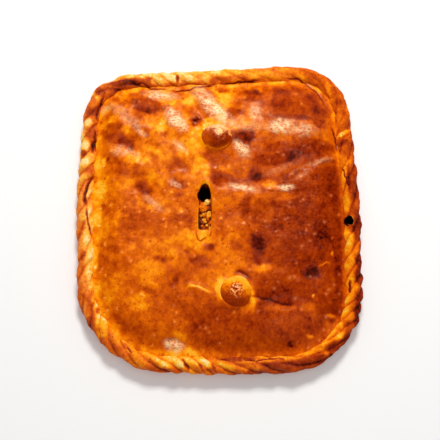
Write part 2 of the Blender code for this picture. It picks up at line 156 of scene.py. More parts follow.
def baked_dough(name, mottle, pore, speckle, roughness, shine, bump):
    """Egg-washed dough. Its vertices hold how far it baked, with painted light and shade, which is
    mottled at two sizes and dotted with small burnt spots, how much painted glare it carries and how
    dull it is."""
    made = bpy.data.materials.new(name)
    made.use_nodes = True
    nodes, links = made.node_tree.nodes, made.node_tree.links
    shader = nodes["Principled BSDF"]
    shader.inputs["IOR"].default_value = 1.45
    shader.inputs["Specular IOR Level"].default_value = shine
    shader.inputs["Specular Tint"].default_value = GLAZE_TINT
    place = nodes.new("ShaderNodeTexCoord").outputs["Object"]

    def of_vertices(attribute):
        stored = nodes.new("ShaderNodeAttribute")
        stored.attribute_name = attribute
        return stored.outputs["Fac"]

    def grain(where, size, detail, fineness):
        texture = nodes.new("ShaderNodeTexNoise")
        texture.inputs["Scale"].default_value = 1.0 / (size * MM)
        texture.inputs["Detail"].default_value = detail
        texture.inputs["Roughness"].default_value = fineness
        links.new(where, texture.inputs["Vector"])
        return texture.outputs["Fac"]

    def ranged(value, low, high, to_low, to_high):
        """Takes low to high over into to_low to to_high, and stops there."""
        scale = nodes.new("ShaderNodeMapRange")
        scale.inputs["From Min"].default_value = low
        scale.inputs["From Max"].default_value = high
        scale.inputs["To Min"].default_value = to_low
        scale.inputs["To Max"].default_value = to_high
        links.new(value, scale.inputs["Value"])
        return scale.outputs["Result"]

    def reckoned(operation, *values):
        step = nodes.new("ShaderNodeMath")
        step.operation = operation
        for socket, value in zip(step.inputs, values):
            if isinstance(value, float):
                socket.default_value = value
            else:
                links.new(value, socket)
        return step.outputs[0]

    def with_part(value, texture, weight, middle):
        """value + weight * (texture - middle)"""
        return reckoned("ADD", value, reckoned("MULTIPLY_ADD", texture, weight, -middle * weight))

    coarse = grain(place, mottle, 3.0, 0.6)
    fine = grain(place, pore, 2.0, 0.6)
    stretched = nodes.new("ShaderNodeMapping")
    stretched.inputs["Scale"].default_value = (0.6, 1.0, 1.0)
    links.new(place, stretched.inputs["Vector"])
    wrinkles = grain(stretched.outputs["Vector"], 1.5 * pore, 1.0, 0.5)

    spots = nodes.new("ShaderNodeTexVoronoi")
    spots.inputs["Scale"].default_value = 1.0 / (3.0 * pore * MM)
    links.new(place, spots.inputs["Vector"])
    burnt_spots_and_hole_shade = ranged(spots.outputs["Distance"], 0.10, 0.28, 1.0, 0.0)
    burnt_spots_and_hole_shade = reckoned("MULTIPLY", burnt_spots_and_hole_shade, reckoned("GREATER_THAN", spots.outputs["Color"], 0.66))
    # The bake value carries browning and also painted light and shade: shade in cracks, creases and
    # the hole, and lit and shaded sides.
    mottled = with_part(with_part(of_vertices("bake_light_and_shade"), coarse, 0.18, 0.5), fine, speckle, 0.5)
    browning = nodes.new("ShaderNodeValToRGB")
    while len(browning.color_ramp.elements) < len(BROWNING):
        browning.color_ramp.elements.new(0.5)
    for element, (level, tone) in zip(browning.color_ramp.elements, BROWNING):
        element.position = level
        element.color = colour(*tone)
    links.new(with_part(mottled, burnt_spots_and_hole_shade, 0.26, 0.0), browning.inputs["Fac"])
    # Painted glare: the colour turns towards the glare colour where the vertices hold painted glare,
    # broken up by wrinkles.
    glazed = nodes.new("ShaderNodeMix")
    glazed.data_type = "RGBA"
    glazed.inputs["B"].default_value = colour(*PAINTED_GLARE_COLOUR)
    glare_share = reckoned("MULTIPLY", of_vertices("painted_glare"), ranged(wrinkles, 0.36, 0.50, 0.12, 1.0))
    links.new(glare_share, glazed.inputs["Factor"])
    links.new(browning.outputs["Color"], glazed.inputs["A"])
    links.new(glazed.outputs["Result"], shader.inputs["Base Color"])

    gloss = ranged(coarse, 0.3, 0.7, roughness - 0.03, roughness + 0.05)
    links.new(with_part(gloss, of_vertices("dull"), 0.85, 0.0), shader.inputs["Roughness"])
    pits = ranged(fine, 0.36, 0.50, 0.0, 1.0)
    relief = nodes.new("ShaderNodeBump")
    relief.inputs["Distance"].default_value = bump * MM
    relief.inputs["Strength"].default_value = 1.0
    links.new(with_part(pits, wrinkles, 1.6, 0.5), relief.inputs["Height"])
    links.new(relief.outputs["Normal"], shader.inputs["Normal"])
    return made


def finish(piece, material, node):
    piece.data.materials.clear()
    piece.data.materials.append(material)
    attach(piece, "root")
    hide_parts(node)


# The seam is read from the solid lid's edge, and the whole pie is laid out round it.
lid_points = np.array([v.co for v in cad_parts["lid"].data.vertices]) / MM
foot = lid_points[lid_points[:, 2] < lid_points[:, 2].min() + 0.2, :2]
rim = lid_points[np.abs(lid_points[:, 2] - SEAM_TOP) < 0.05, :2]
rim = np.array([p for p in rim if np.hypot(*(foot - p).T).min() < 0.1])
rim = np.unique(rim.round(2), axis=0)
rim = rim[np.argsort(np.arctan2(rim[:, 1], rim[:, 0]))]
rim, _ = even_loop(rim, 4 * SEAM_SAMPLES)
BEARINGS = np.linspace(-math.pi, math.pi, SEAM_SAMPLES, endpoint=False)
rim_bearings = np.arctan2(rim[:, 1], rim[:, 0])
rim_order = np.argsort(rim_bearings)
seam_reach = np.interp(
    BEARINGS, rim_bearings[rim_order], np.hypot(*rim.T)[rim_order], period=math.tau
)
seam_reach = smooth_loop(smooth_loop(seam_reach, 5), 5)
seam = np.stack([np.cos(BEARINGS), np.sin(BEARINGS)], axis=1) * seam_reach[:, None]
seam, _ = even_loop(seam, SEAM_SAMPLES)
rope_line, rope_length = even_loop(seam + outward(seam) * ROPE_OUTSET, SEAM_SAMPLES)
rope_out = outward(rope_line)

bpy.ops.mesh.primitive_circle_add(vertices=SHEET_POINTS, radius=RING_STEP * MM, fill_type="NGON")
sheet = name_new("lower_sheet")
bpy.ops.object.mode_set(mode="EDIT")
for _ in SHEET_RINGS[1:]:
    bpy.ops.mesh.extrude_region_move(TRANSFORM_OT_translate={"value": (0.0, 0.0, RING_STEP * MM)})
bpy.ops.object.mode_set(mode="OBJECT")
ring, number = ring_and_turn(places_of(sheet), SHEET_POINTS)
sample = number * (SEAM_SAMPLES // SHEET_POINTS)
out, up = np.array(SHEET_RINGS)[ring].T
laid = np.column_stack([rope_line[sample] + rope_out[sample] * out[:, None], up])
on_flank = (ring > 0) & (ring <= FLANK_TOP_RING)
bulge = unevenness(laid, 14.0, 1) * FLANK_NOISE * on_flank
laid[:, :2] += rope_out[sample] * bulge[:, None]
set_places(sheet, laid)
face_outwards()
# Painted shade: the sheet is painted near black where it shows at the bottom of the burst hole.
burnt_spots_and_hole_shade = np.exp(-((np.hypot(laid[:, 0] - BURST[0], laid[:, 1] - BURST[1]) / HOLE_SHADE_REACH) ** 4))
sheet_bake = 0.62 - 0.018 * np.clip(up, 0.0, 9.0) + 0.1 * unevenness(laid, 22.0, 2)
paint(sheet, "bake_light_and_shade", np.maximum(sheet_bake, burnt_spots_and_hole_shade * 1.2 * (up > 12.0)))
smooth_shade(sheet, 60)
crust_finish = baked_dough(
    "baked_crust", mottle=4.0, pore=1.2, speckle=0.28, roughness=0.34, shine=0.28, bump=0.08
)
finish(sheet, crust_finish, "crust")

# The rope that closes the pie: the edges of both sheets, pulled in fold by fold with thumb and
# finger and laid over each other, so that each fold slants across the last. The folds are short
# on the near and right sides and pulled long round the corners.
ROPE_SIDES = 52
ROPE_LEVEL = 14.5
ROPE_HALF_WIDTH = 8.3
ROPE_HALF_HEIGHT = 7.0
FIRST_FOLD = 9.6  # from the middle of the left side towards the viewer
FOLDS = (  # lengths of the folds from there, round the near side
    (30.5, 15.0, 22.5, 24.5, 15.0, 14.5, 22.5, 21.0)  # left, and round the near left corner
    + (25.0, 12.0, 16.0, 12.5, 23.0, 23.0, 21.5, 37.5, 34.5)  # near side
    + (16.0, 11.5, 16.0, 17.0, 19.0, 17.0, 27.5, 30.0, 17.0, 25.5, 20.0, 22.0)  # right side
    + (28.5, 40.5, 24.0, 23.0, 23.0, 17.5, 17.5, 15.5, 13.5, 23.0)  # far side
    + (26.5, 29.0, 20.0, 21.5, 19.0, 14.5, 24.0, 17.5)  # round to the left side
)
FOLD_CREST = 1.45  # above 1 the crest lies nearer the next fold, which it overlaps
# Its tones outside and inside are partly painted light and shade: paler on the rope's side that faces
# the window, darker on its shaded side.
ROPE_SHAPE = (  # bearing, the folds' depth, folds that a crease passes, tone outside and inside
    (-180, 2.3, 1.2, 0.36, 0.00), (-140, 2.1, 1.8, 0.54, 0.00), (-105, 3.0, 1.9, 0.30, 0.10),
    (-75, 3.0, 2.0, 0.38, 0.10), (-50, 2.4, 2.4, 0.76, 0.16), (-25, 3.0, 1.6, 0.72, 0.20),
    (10, 2.8, 1.5, 0.66, 0.20), (35, 1.5, 2.0, 0.56, 0.26), (60, 1.3, 2.2, 0.34, 0.26),
    (85, 1.6, 1.7, 0.12, 0.42), (115, 2.0, 1.5, 0.00, 0.52), (145, 2.5, 1.3, 0.00, 0.46),
    (165, 2.8, 1.2, 0.26, 0.16), (180, 2.3, 1.2, 0.36, 0.00),
)
# The cracks are cut in and painted dark as their shade.
CRACKS = (  # where the dough split along the lid: half width, depth, and the line it follows
    (1.1, 2.6, ((-116.0, 127.4), (-119.9, 119.8), (-123.2, 111.0), (-124.5, 103.4), (-123.8, 95.8))),
    (1.2, 2.6, ((-126.0, 90.1), (-125.5, 76.1), (-128.5, 70.8), (-126.6, 61.2))),
    (1.5, 3.2, ((-126.0, 40.5), (-130.4, 30.5), (-133.6, 20.1), (-133.8, 12.9), (-131.6, 6.7))),
    (0.7, 1.6, ((-131.2, 6.0), (-130.6, -2.6), (-129.0, -12.8), (-126.2, -23.9))),
    (1.0, 1.8, ((-109.0, 133.0), (-94.4, 136.4), (-77.9, 138.2), (-70.5, 132.5), (-51.8, 132.0))),
    (0.9, 1.6, ((-51.8, 132.0), (-43.5, 129.2), (-29.1, 131.0), (-22.9, 133.6), (-0.1, 137.4))),
    (0.8, 1.4, ((-0.1, 137.4), (17.6, 139.4), (32.1, 140.6), (45.6, 142.0))),
    (0.8, 1.4, ((66.0, 143.0), (83.0, 143.2), (91.2, 138.4), (103.3, 127.0), (113.1, 108.5))),
    (0.9, 1.6, ((116.6, 91.9), (121.1, 72.6), (122.0, 64.0))),
    (0.7, 1.4, ((124.4, 49.3), (129.6, 35.7), (131.6, 23.2))),
    (1.0, 2.2, ((129.9, -67.7), (128.9, -80.5))),
    (0.7, 1.2, ((-88.6, -132.8), (-85.6, -135.6), (-83.0, -139.0))),
    (0.5, 1.0, ((17.4, -146.2), (42.3, -145.0), (61.6, -142.6))),
)
CAMERA_AIM = (0.002, -0.007, 0.018)  # in metres, as is the camera's place
CAMERA_TILT = math.radians(12.5)  # from straight down
CAMERA_DISTANCE = 0.80
CAMERA_PLACE = Vector(CAMERA_AIM) + CAMERA_DISTANCE * Vector(
    (0.0, -math.sin(CAMERA_TILT), math.cos(CAMERA_TILT))
)
PIXELS, FOCAL_PIXELS = 440, 800  # a side of the photo, and its lens's focal length, in pixels
ROPE_TONE_LEVEL = 19.0  # of the rope where its patches lie


def seen_at(across, down, level):
    """The place, in millimetres, that shows at a pixel of the photo if it lies at this level."""
    right, up = (across - PIXELS / 2) / FOCAL_PIXELS, (PIXELS / 2 - down) / FOCAL_PIXELS
    sight_y = math.sin(CAMERA_TILT) + up * math.cos(CAMERA_TILT)
    sight_z = up * math.sin(CAMERA_TILT) - math.cos(CAMERA_TILT)
    reach = (level * MM - CAMERA_PLACE.z) / sight_z
    return (CAMERA_PLACE.x + reach * right) / MM, (CAMERA_PLACE.y + reach * sight_y) / MM


def read_off(level, *patches):
    """Patches read off the photo, laid on the pie to the nearest millimetre. Each has the
    pixel of its middle, half length and half width in pixels, turn in degrees, and tone."""
    laid = []
    for across, down, length, width, turn, tone in patches:
        run, rise = math.cos(math.radians(turn)), math.sin(math.radians(turn))
        middle = seen_at(across, down, level)
        end = seen_at(across + length * run, down - length * rise, level)
        side = seen_at(across - width * rise, down - width * run, level)
        halves = math.dist(middle, end), math.dist(middle, side)
        halves = [round(half, 1) if half < 4.0 else round(half) for half in halves]
        slant = math.degrees(math.atan2(end[1] - middle[1], end[0] - middle[0]))
        laid.append((round(middle[0]), round(middle[1]), *halves, round(slant), tone))
    return laid


# Some of these patches are painted light and shade: dark ones in creases, in a notch and under a
# folded corner are painted shade, and the palest on the far left rope are painted highlights.
ROPE_TONES = (  # browned and pale patches, as read off the photo and, from later looks, in
    # millimetres: x, y, half length, half width, turn, tone
    *read_off(
        ROPE_TONE_LEVEL,
        (90, 215, 6, 40, 0, 0.22), (90, 300, 6, 40, -10, 0.36), (125, 350, 14, 8, -38, 0.42),
        (155, 364, 24, 6, -8, 0.48), (215, 366, 30, 6, 0, 0.38), (280, 368, 40, 6, 8, 0.62),
        (345, 335, 8, 20, -30, 0.66), (358, 270, 4, 60, 0, 0.64), (349, 260, 5, 60, 0, 0.32),
        (352, 190, 7, 30, -8, 0.52), (344, 140, 9, 25, 10, 0.50), (320, 90, 26, 12, -45, 0.44),
    ),
    (-96, 137, 22, 5, 10, 0.52),
    *read_off(
        ROPE_TONE_LEVEL,
        (92, 125, 9, 28, 15, 0.46), (90, 302, 4, 10, 0, 0.66), (97, 296, 4, 7, -20, 0.19),
        (91, 322, 4, 9, -15, 0.64), (101, 332, 4, 6, -30, 0.13), (83, 256, 3, 4, 0, 0.62),
        (93, 260, 4, 8, 0, 0.13), (86, 280, 3, 5, 0, 0.50), (92, 284, 4, 5, 0, 0.12),
        (98, 310, 2, 3, 0, 0.60), (92, 214, 4, 10, 0, 0.12), (82, 215, 3, 12, 0, 0.24),
        (92, 242, 5, 8, 0, 0.16), (82, 232, 2, 8, 0, 0.40), (91, 135, 6, 5, 0, 0.67),
        # The patches at 88, 123 and 126, 77 are painted highlights.
        (95, 145, 3, 5, 0, 0.86), (88, 123, 4, 4, 20, 0.06), (92, 113, 5, 4, 0, 0.64),
        (100, 92, 5, 6, 40, 0.60), (92, 101, 4, 6, 30, 0.42), (127, 83, 17, 3, 6, 0.73),
        (126, 77, 18, 2.5, 10, 0.05), (86, 146, 4, 4, 40, 0.07), (83, 154, 3, 4, 0, 0.62),
        (85, 163, 4, 5, 0, 0.10), (90, 172, 4, 7, -30, 0.50), (84, 188, 4, 8, -15, 0.40),
        (155, 82, 9, 2, -20, 0.12), (148, 83, 4, 5, 0, 0.60), (160, 77, 4, 2, 0, 0.20),
        (178, 80, 1.5, 4, 0, 0.84), (203, 76, 4, 2, 0, 0.20), (190, 85, 10, 2, 5, 0.60),
        (230, 79, 20, 2.5, 6, 0.44), (275, 70, 20, 2, 5, 0.26), (301, 78, 3, 10, 35, 0.22),
        (312, 87, 2.5, 10, 45, 0.24), (324, 105, 2.5, 12, 20, 0.25), (328, 90, 2.5, 11, 10, 0.30),
    ),
    (122, 122, 4, 13, 21, 0.60), (99, 142, 4, 10, 46, 0.54),
    *read_off(
        ROPE_TONE_LEVEL,
        (336, 122, 4, 9, 0, 0.36), (343, 134, 8, 1.8, 28, 0.08), (342, 143, 5, 4, 0, 0.74),
        (346, 150, 4, 5, 0, 0.50), (347, 163, 4, 5, -30, 0.26), (343, 178, 3, 13, 0, 0.20),
        (349, 180, 1.5, 13, 0, 0.84), (354, 185, 3, 12, 0, 0.68), (347, 205, 4, 8, -10, 0.24),
        (356, 205, 3, 10, 0, 0.56), (352, 227, 5, 4, 0, 0.62), (349, 240, 4, 8, 0, 0.20),
        (356, 248, 3, 9, -15, 0.22), (353, 262, 3, 6, 20, 0.24), (359, 262, 2.5, 7, 0, 0.70),
        (358, 272, 3, 4, 0, 0.78), (352, 283, 3, 8, 0, 0.20), (357, 288, 3, 4, 0, 0.26),
        (359, 298, 2, 8, 0, 0.66), (351, 297, 5, 5, -30, 0.22), (353, 306, 5, 4, 20, 0.46),
    ),
    (136, -101, 4, 10, 0, 0.82),
    *read_off(
        ROPE_TONE_LEVEL,
        (348, 316, 5, 5, -40, 0.22), (342, 326, 5, 3, 0, 0.24), (347, 325, 4, 2, 0, 0.60),
        (338, 336, 7, 3, 40, 0.20), (346, 342, 5, 9, -40, 0.80), (325, 347, 9, 2, 12, 0.26),
        # The near-black patch at 331, 355 is painted shade in a notch.
        (328, 352, 5, 3, -10, 0.14), (318, 348, 5, 2, 0, 0.30), (331, 355, 2, 2, 0, 0.98),
        (302, 352, 18, 3, 4, 0.17),
    ),
    (90, -145, 12, 3.8, 8, 0.80),
    *read_off(
        ROPE_TONE_LEVEL,
        (295, 354, 8, 3, 0, 0.20), (281, 359, 3, 1.5, 0, 0.86), (270, 360, 13, 2, 0, 0.25),
        (262, 367, 26, 4, 3, 0.70),
    ),
    (31, -152, 12, 3, -3, 0.30), (8, -152, 12, 3.2, -4, 0.22), (17, -143.5, 24, 2.4, 0, 0.66),
    *read_off(
        ROPE_TONE_LEVEL,
        (215, 371, 14, 2, 0, 0.52),
    ),
    (-14, -148, 11, 3.8, -8, 0.12),
    *read_off(
        ROPE_TONE_LEVEL,
        (190, 368, 5, 3, -40, 0.20),
    ),
    (-36, -148, 9, 3.8, -10, 0.10),
    *read_off(
        ROPE_TONE_LEVEL,
        (166, 363, 5, 6, -35, 0.10), (180, 354, 13, 4, 0, 0.17), (155, 357, 11, 4, -18, 0.22),
        (140, 360, 7, 8, 0, 0.34), (165, 370, 17, 2.5, -4, 0.60), (186, 371, 4, 2.5, 0, 0.34),
        # The three narrow dark patches at the start of the next line are painted shade in creases.
        (186, 364, 1.3, 6, 30, 0.80), (201, 367, 1.3, 5, 40, 0.76), (214, 367, 1.3, 4, 30, 0.74),
        (128, 352, 3, 3, 0, 0.14), (116, 340, 3, 12, 35, 0.22), (108, 332, 3, 8, 30, 0.56),
        (122, 353, 12, 4, -38, 0.55),
    ),
    # The patch at 109, -133 is a painted shadow under the folded corner.
    (-106, 127, 8, 4, 40, 0.72), (117, 108, 4, 9, 15, 0.62), (109, -133, 6, 5, 40, 0.78),
    (-110, -114, 6, 10, 35, 0.12), (-121, -68, 5, 7, -20, 0.12), (-117, -87, 4, 8, -15, 0.10),
    (-126, -44, 5, 6, 0, 0.12),
)
BURST_HALVES = (4.1, 4.5, 8.0)
BURST_LEVEL = 20.0


def turned_to(x, y, cx, cy, turn):
    """Places as seen from a middle: along a direction, turned by so many degrees, and across it."""
    angle = math.radians(turn)
    along = (x - cx) * math.cos(angle) + (y - cy) * math.sin(angle)
    across = (y - cy) * math.cos(angle) - (x - cx) * math.sin(angle)
    return along, across


def toned(base, x, y, tones):
    """Lays soft-edged patches, each of its own tone, over a base and over each other."""
    for cx, cy, length, width, turn, tone in tones:
        along, across = turned_to(x, y, cx, cy, turn)
        share = np.exp(-((np.hypot(along / length, across / width) / 1.12) ** 4))
        base = base + (tone - base) * share
    return base


def from_line(x, y, path):
    """Distance from a drawn line, + on the left of its run, and the share of it passed."""
    steps = [math.dist(a, b) for a, b in zip(path, path[1:])]
    nearest = np.full(x.shape, np.inf)
    side = np.ones(x.shape)
    share = np.zeros(x.shape)
    for i, ((ax, ay), (bx, by)) in enumerate(zip(path, path[1:])):
        run_x, run_y = (bx - ax) / steps[i], (by - ay) / steps[i]
        passed = np.clip((x - ax) * run_x + (y - ay) * run_y, 0.0, steps[i])
        off_x, off_y = x - ax - passed * run_x, y - ay - passed * run_y
        distance = np.hypot(off_x, off_y)
        nearer = distance < nearest
        nearest = np.where(nearer, distance, nearest)
        side = np.where(nearer, np.where(run_x * off_y - run_y * off_x < 0, -1.0, 1.0), side)
        share = np.where(nearer, (sum(steps[:i]) + passed) / sum(steps), share)
    return nearest * side, share


def ramp(values, start, end):
    """The share of the way from start to end, 0 to 1."""
    return np.clip((values - start) / (end - start), 0.0, 1.0)


def eased(share):
    return share * share * (3.0 - 2.0 * share)


def tapered(share, rate):
    """0 at a line's two ends, rising to 1 along it."""
    return np.clip(np.minimum(share, 1.0 - share) * rate, 0.0, 1.0)


def level_places(x, y):
    return np.column_stack([x, y, 0 * x])


def crack_depth(x, y):
    """How deep the cracks are at each place, and how much painted shade lies in them, 0 to 1."""
    flat = level_places(x, y)
    shaken_x, shaken_y = x + unevenness(flat, 5.0, 7), y + unevenness(flat, 5.0, 8)
    depth, crack_shade = np.zeros_like(x), np.zeros_like(x)
    for width, most, path in CRACKS:
        distance, share = from_line(shaken_x, shaken_y, path)
        ends = tapered(share, 5.0) ** 0.5
        depth = np.maximum(depth, most * np.exp(-((distance / width) ** 2)) * ends)
        crack_shade = np.maximum(crack_shade, np.exp(-((distance / (width * 1.1)) ** 4)) * ends)
    return depth, crack_shade


def apply_boolean(piece, other, operation):
    """Joins or cuts the piece with another closed one, which is then removed."""
    select_only(piece)
    bpy.ops.object.modifier_add(type="BOOLEAN")
    cut = piece.modifiers[-1]
    cut.operation = operation
    cut.solver = "MANIFOLD"
    cut.object = other
    bpy.ops.object.modifier_apply(modifier=cut.name)
    bpy.data.objects.remove(other)


def cut_burst(piece):
    """The small deep hole where filling burst out between the lid and the rope on the right."""
    bpy.ops.mesh.primitive_ico_sphere_add(subdivisions=4, radius=MM)
    burst = name_new("burst")
    places = places_of(burst)
    places *= 1.0 + 0.30 * unevenness(places * (3.0, 3.0, 0.6), 2.2, 10)[:, None]
    set_places(burst, places * BURST_HALVES + (*BURST, BURST_LEVEL))
    apply_boolean(piece, burst, "DIFFERENCE")


def hole_wall_shade(places):
    """Painted shade in the hole: 1 on its wall and 0 elsewhere."""
    near = np.hypot((places[:, 0] - BURST[0]) / 5.2, (places[:, 1] - BURST[1]) / 5.6)
    return (near < 1.0) * ramp(places[:, 2], 21.5, 20.0)


bpy.ops.mesh.primitive_circle_add(
    vertices=SEAM_SAMPLES, radius=RING_STEP * MM, fill_type="NOTHING"
)
rope = name_new("rope_edge")
bpy.ops.object.mode_set(mode="EDIT")
for _ in range(ROPE_SIDES - 1):
    bpy.ops.mesh.extrude_edges_move(TRANSFORM_OT_translate={"value": (0.0, 0.0, RING_STEP * MM)})
bpy.ops.mesh.select_all(action="SELECT")
bpy.ops.mesh.region_to_loop()
bpy.ops.mesh.bridge_edge_loops()
bpy.ops.object.mode_set(mode="OBJECT")
around, along = ring_and_turn(places_of(rope), SEAM_SAMPLES)
side_angle = around * math.tau / ROPE_SIDES  # 0 outwards, a quarter turn up, a half turn inwards
from_top = (side_angle - math.pi / 2 + math.pi) % math.tau - math.pi
passed = along * rope_length / SEAM_SAMPLES
starts = FIRST_FOLD + np.concatenate([[0.0], np.cumsum(FOLDS)]) * rope_length / sum(FOLDS)
looped_starts = np.concatenate([starts[:-1] - rope_length, starts, starts[1:] + rope_length])
counts = np.arange(len(looped_starts)) - len(FOLDS)
shape_bearings, *shapes = np.array(ROPE_SHAPE).T
bearing = np.degrees(np.arctan2(*rope_line[along].T[::-1]))
fold_depth, lean, outer_tone, inner_tone = [np.interp(bearing, shape_bearings, s) for s in shapes]
phase = np.interp(passed, looped_starts, counts) + lean * from_top / math.pi
phase += 0.12 * unevenness(np.column_stack([passed, side_angle * 6.0, 0 * passed]), 9.0, 3)
fold = np.floor(phase)
within = phase - fold
luck = np.random.default_rng(11).uniform(0.75, 1.2, len(FOLDS))
crest = np.sin(math.pi * within**FOLD_CREST) ** 0.6
upper = eased(ramp(np.cos(from_top), -0.75, -0.20))
relief = fold_depth * luck[(fold % len(FOLDS)).astype(int)] * (crest - 0.8) * upper
out = np.cos(side_angle) * (ROPE_HALF_WIDTH + relief)
up = np.sin(side_angle) * (ROPE_HALF_HEIGHT + relief * 0.9)
laid = rope_line[along] + rope_out[along] * out[:, None]
rope_places = np.column_stack([laid, ROPE_LEVEL + up])
lump = 1.5 * unevenness(rope_places, 14.0, 4) + 0.7 * unevenness(rope_places, 5.0, 5)
streaks = np.column_stack([fold * 9.0 + within * 7.0, passed * 0.12, from_top])
lump += 0.3 * unevenness(streaks, 1.6, 6) * upper
rope_places[:, :2] += rope_out[along] * (np.cos(side_angle) * lump)[:, None]
rope_places[:, 2] += np.sin(side_angle) * lump
depth, crack_shade = crack_depth(rope_places[:, 0], rope_places[:, 1])
on_top = ramp(rope_places[:, 2], ROPE_LEVEL, ROPE_LEVEL + 2.0)
rope_places[:, 2] -= depth * on_top
set_places(rope, rope_places)
face_outwards()

far_side = np.clip(np.sin(np.radians(bearing)), 0.0, 1.0) ** 4
inner_side = eased(ramp(np.cos(side_angle) + 0.6 * far_side, 0.35, -0.55))
below = np.clip(-np.sin(side_angle), 0.0, 1.0)
shake_x = 1.4 * unevenness(rope_places, 6.0, 9) + 1.0 * unevenness(rope_places, 2.6, 12)
shake_y = 1.4 * unevenness(rope_places, 6.0, 13) + 1.0 * unevenness(rope_places, 2.6, 14)
rope_x, rope_y = rope_places[:, 0] + shake_x, rope_places[:, 1] + shake_y
# Painted light and shade: the outer and inner tones make the lit side of the rope paler and its shaded
# side darker, under the patches.
rope_bake_light_and_shade = toned(
    outer_tone + (inner_tone - outer_tone) * inner_side, rope_x, rope_y, ROPE_TONES
)
on_right, on_left = ramp(rope_x, 100.0, 120.0), ramp(rope_x, -112.0, -124.0)
mid_length = ramp(np.abs(rope_y), 108.0, 92.0)
rope_bake_light_and_shade += 0.08 * on_right * mid_length * (1.0 - inner_side)
rope_bake_light_and_shade -= 0.06 * on_right * ramp(rope_y, 28.0, 12.0) * inner_side
rope_bake_light_and_shade -= 0.10 * on_left * mid_length
rope_bake_light_and_shade -= 0.07 * ramp(rope_y, -120.0, -132.0) * ramp(rope_x, 8.0, -8.0)
rope_bake_light_and_shade -= 0.06 * ramp(rope_x + rope_y, 200.0, 220.0)
rope_bake_light_and_shade += 0.08 * ramp(rope_x, 40.0, 70.0) * far_side
# Painted shade in the creases between the folds and on the rope's underside.
rope_bake_light_and_shade += 0.13 * fold_depth * (1.0 - crest) ** 2.5 * upper + 0.08 * below
rope_bake_light_and_shade += 0.16 * unevenness(rope_places, 8.0, 15) + 0.11 * unevenness(rope_places, 2.4, 16)
rope_bake_light_and_shade = np.clip(rope_bake_light_and_shade, 0.02, 0.94)
# Painted shade in the cracks along the rope's top.
paint(rope, "bake_light_and_shade", np.maximum(rope_bake_light_and_shade, crack_shade * on_top * 0.94))
paint(rope, "dull", np.clip(0.3 + (rope_x - 60.0) / 80.0, 0.3, 0.9))
# Painted highlights on the rope: pale glare on its left side and on the far side's outer flank.
rope_glare = ramp(rope_x, -118.0, -132.0) * (np.abs(rope_y) < 110.0)
rope_glare = np.maximum(rope_glare, far_side * ramp(rope_x, 20.0, -40.0))
paint(rope, "painted_glare", 0.5 * rope_glare * np.clip(0.45 - rope_bake_light_and_shade, 0.0, 0.3) * (1.0 - crack_shade))
smooth_shade(rope, 180)
finish(rope, crust_finish, "crust")
cut_burst(rope)
# Painted shade on the wall of the hole.
baked = rope.data.attributes["bake_light_and_shade"].data
stored = np.empty(len(baked), np.float32)
baked.foreach_get("value", stored)
stored = np.maximum(stored, 1.3 * hole_wall_shade(places_of(rope)))
baked.foreach_set("value", stored.astype(np.float32))

# The filling: melted cheese and quince paste. It fills the pie and has sunk a little under the
# vent, where its top is crumbled and a deep hollow opens at the far end, painted dark as its shade.
LID_THICKNESS = 4.0
FILLING_BELOW = 1.0  # the gap between the lid and the filling
SHOULDER_RISE, SHOULDER_RUN = 8.5, 16.0  # of the pie's edge, from the seam inwards
CROWN_RISE = 4.0  # from there to the middle
GRID_HALF_WIDTH, GRID_HALF_LENGTH = 134.0, 149.0  # of the grid that filling and lid start from
FINE_ACROSS, FINE_ALONG = (-24.0, -2.0), (-32.0, 32.0)  # its lines lie closer round the vent,
FINE_SHARES = (0.19, 0.34)  # where these shares of them run
VENT_MIDDLE = (-13.0, 3.5)
VENT_DIP = 3.0
HOLLOW = (-13.4, 19.5, 6.5, 9.0, 15.0)  # x, y, half width, half length, depth


def shoulder_of(x, y):
    """The share of the pie's shoulder climbed, the height without forms, and how far inwards."""
    edge = np.interp(np.arctan2(y, x), BEARINGS, seam_reach, period=math.tau)
    radius = np.hypot(x, y)
    inward = edge - radius
    climbed = 1.0 - np.exp(-((np.clip(inward, 0.0, None) / SHOULDER_RUN) ** 1.9))
    crown = CROWN_RISE * (1.0 - (radius / edge) ** 2)
    return climbed, SEAM_TOP + SHOULDER_RISE * climbed + crown, inward


def grid_lines(count, half, fine, share):
    """Places of a grid's lines from -half to half, of which a share lies in the fine stretch."""
    before = (fine[0] + half) / (2.0 * half - (fine[1] - fine[0])) * (1.0 - share)
    knots = (0.0, before, before + share, 1.0)
    lines = np.interp(np.linspace(0.0, 1.0, count), knots, (-half, fine[0], fine[1], half))
    reach = 8  # lines on either side that even out where the spacing changes
    ahead, behind = 2 * lines[0] - lines[reach:0:-1], 2 * lines[-1] - lines[-2 : -reach - 2 : -1]
    padded = np.concatenate([ahead, lines, behind])
    return np.convolve(padded, np.ones(2 * reach + 1) / (2 * reach + 1), mode="valid")


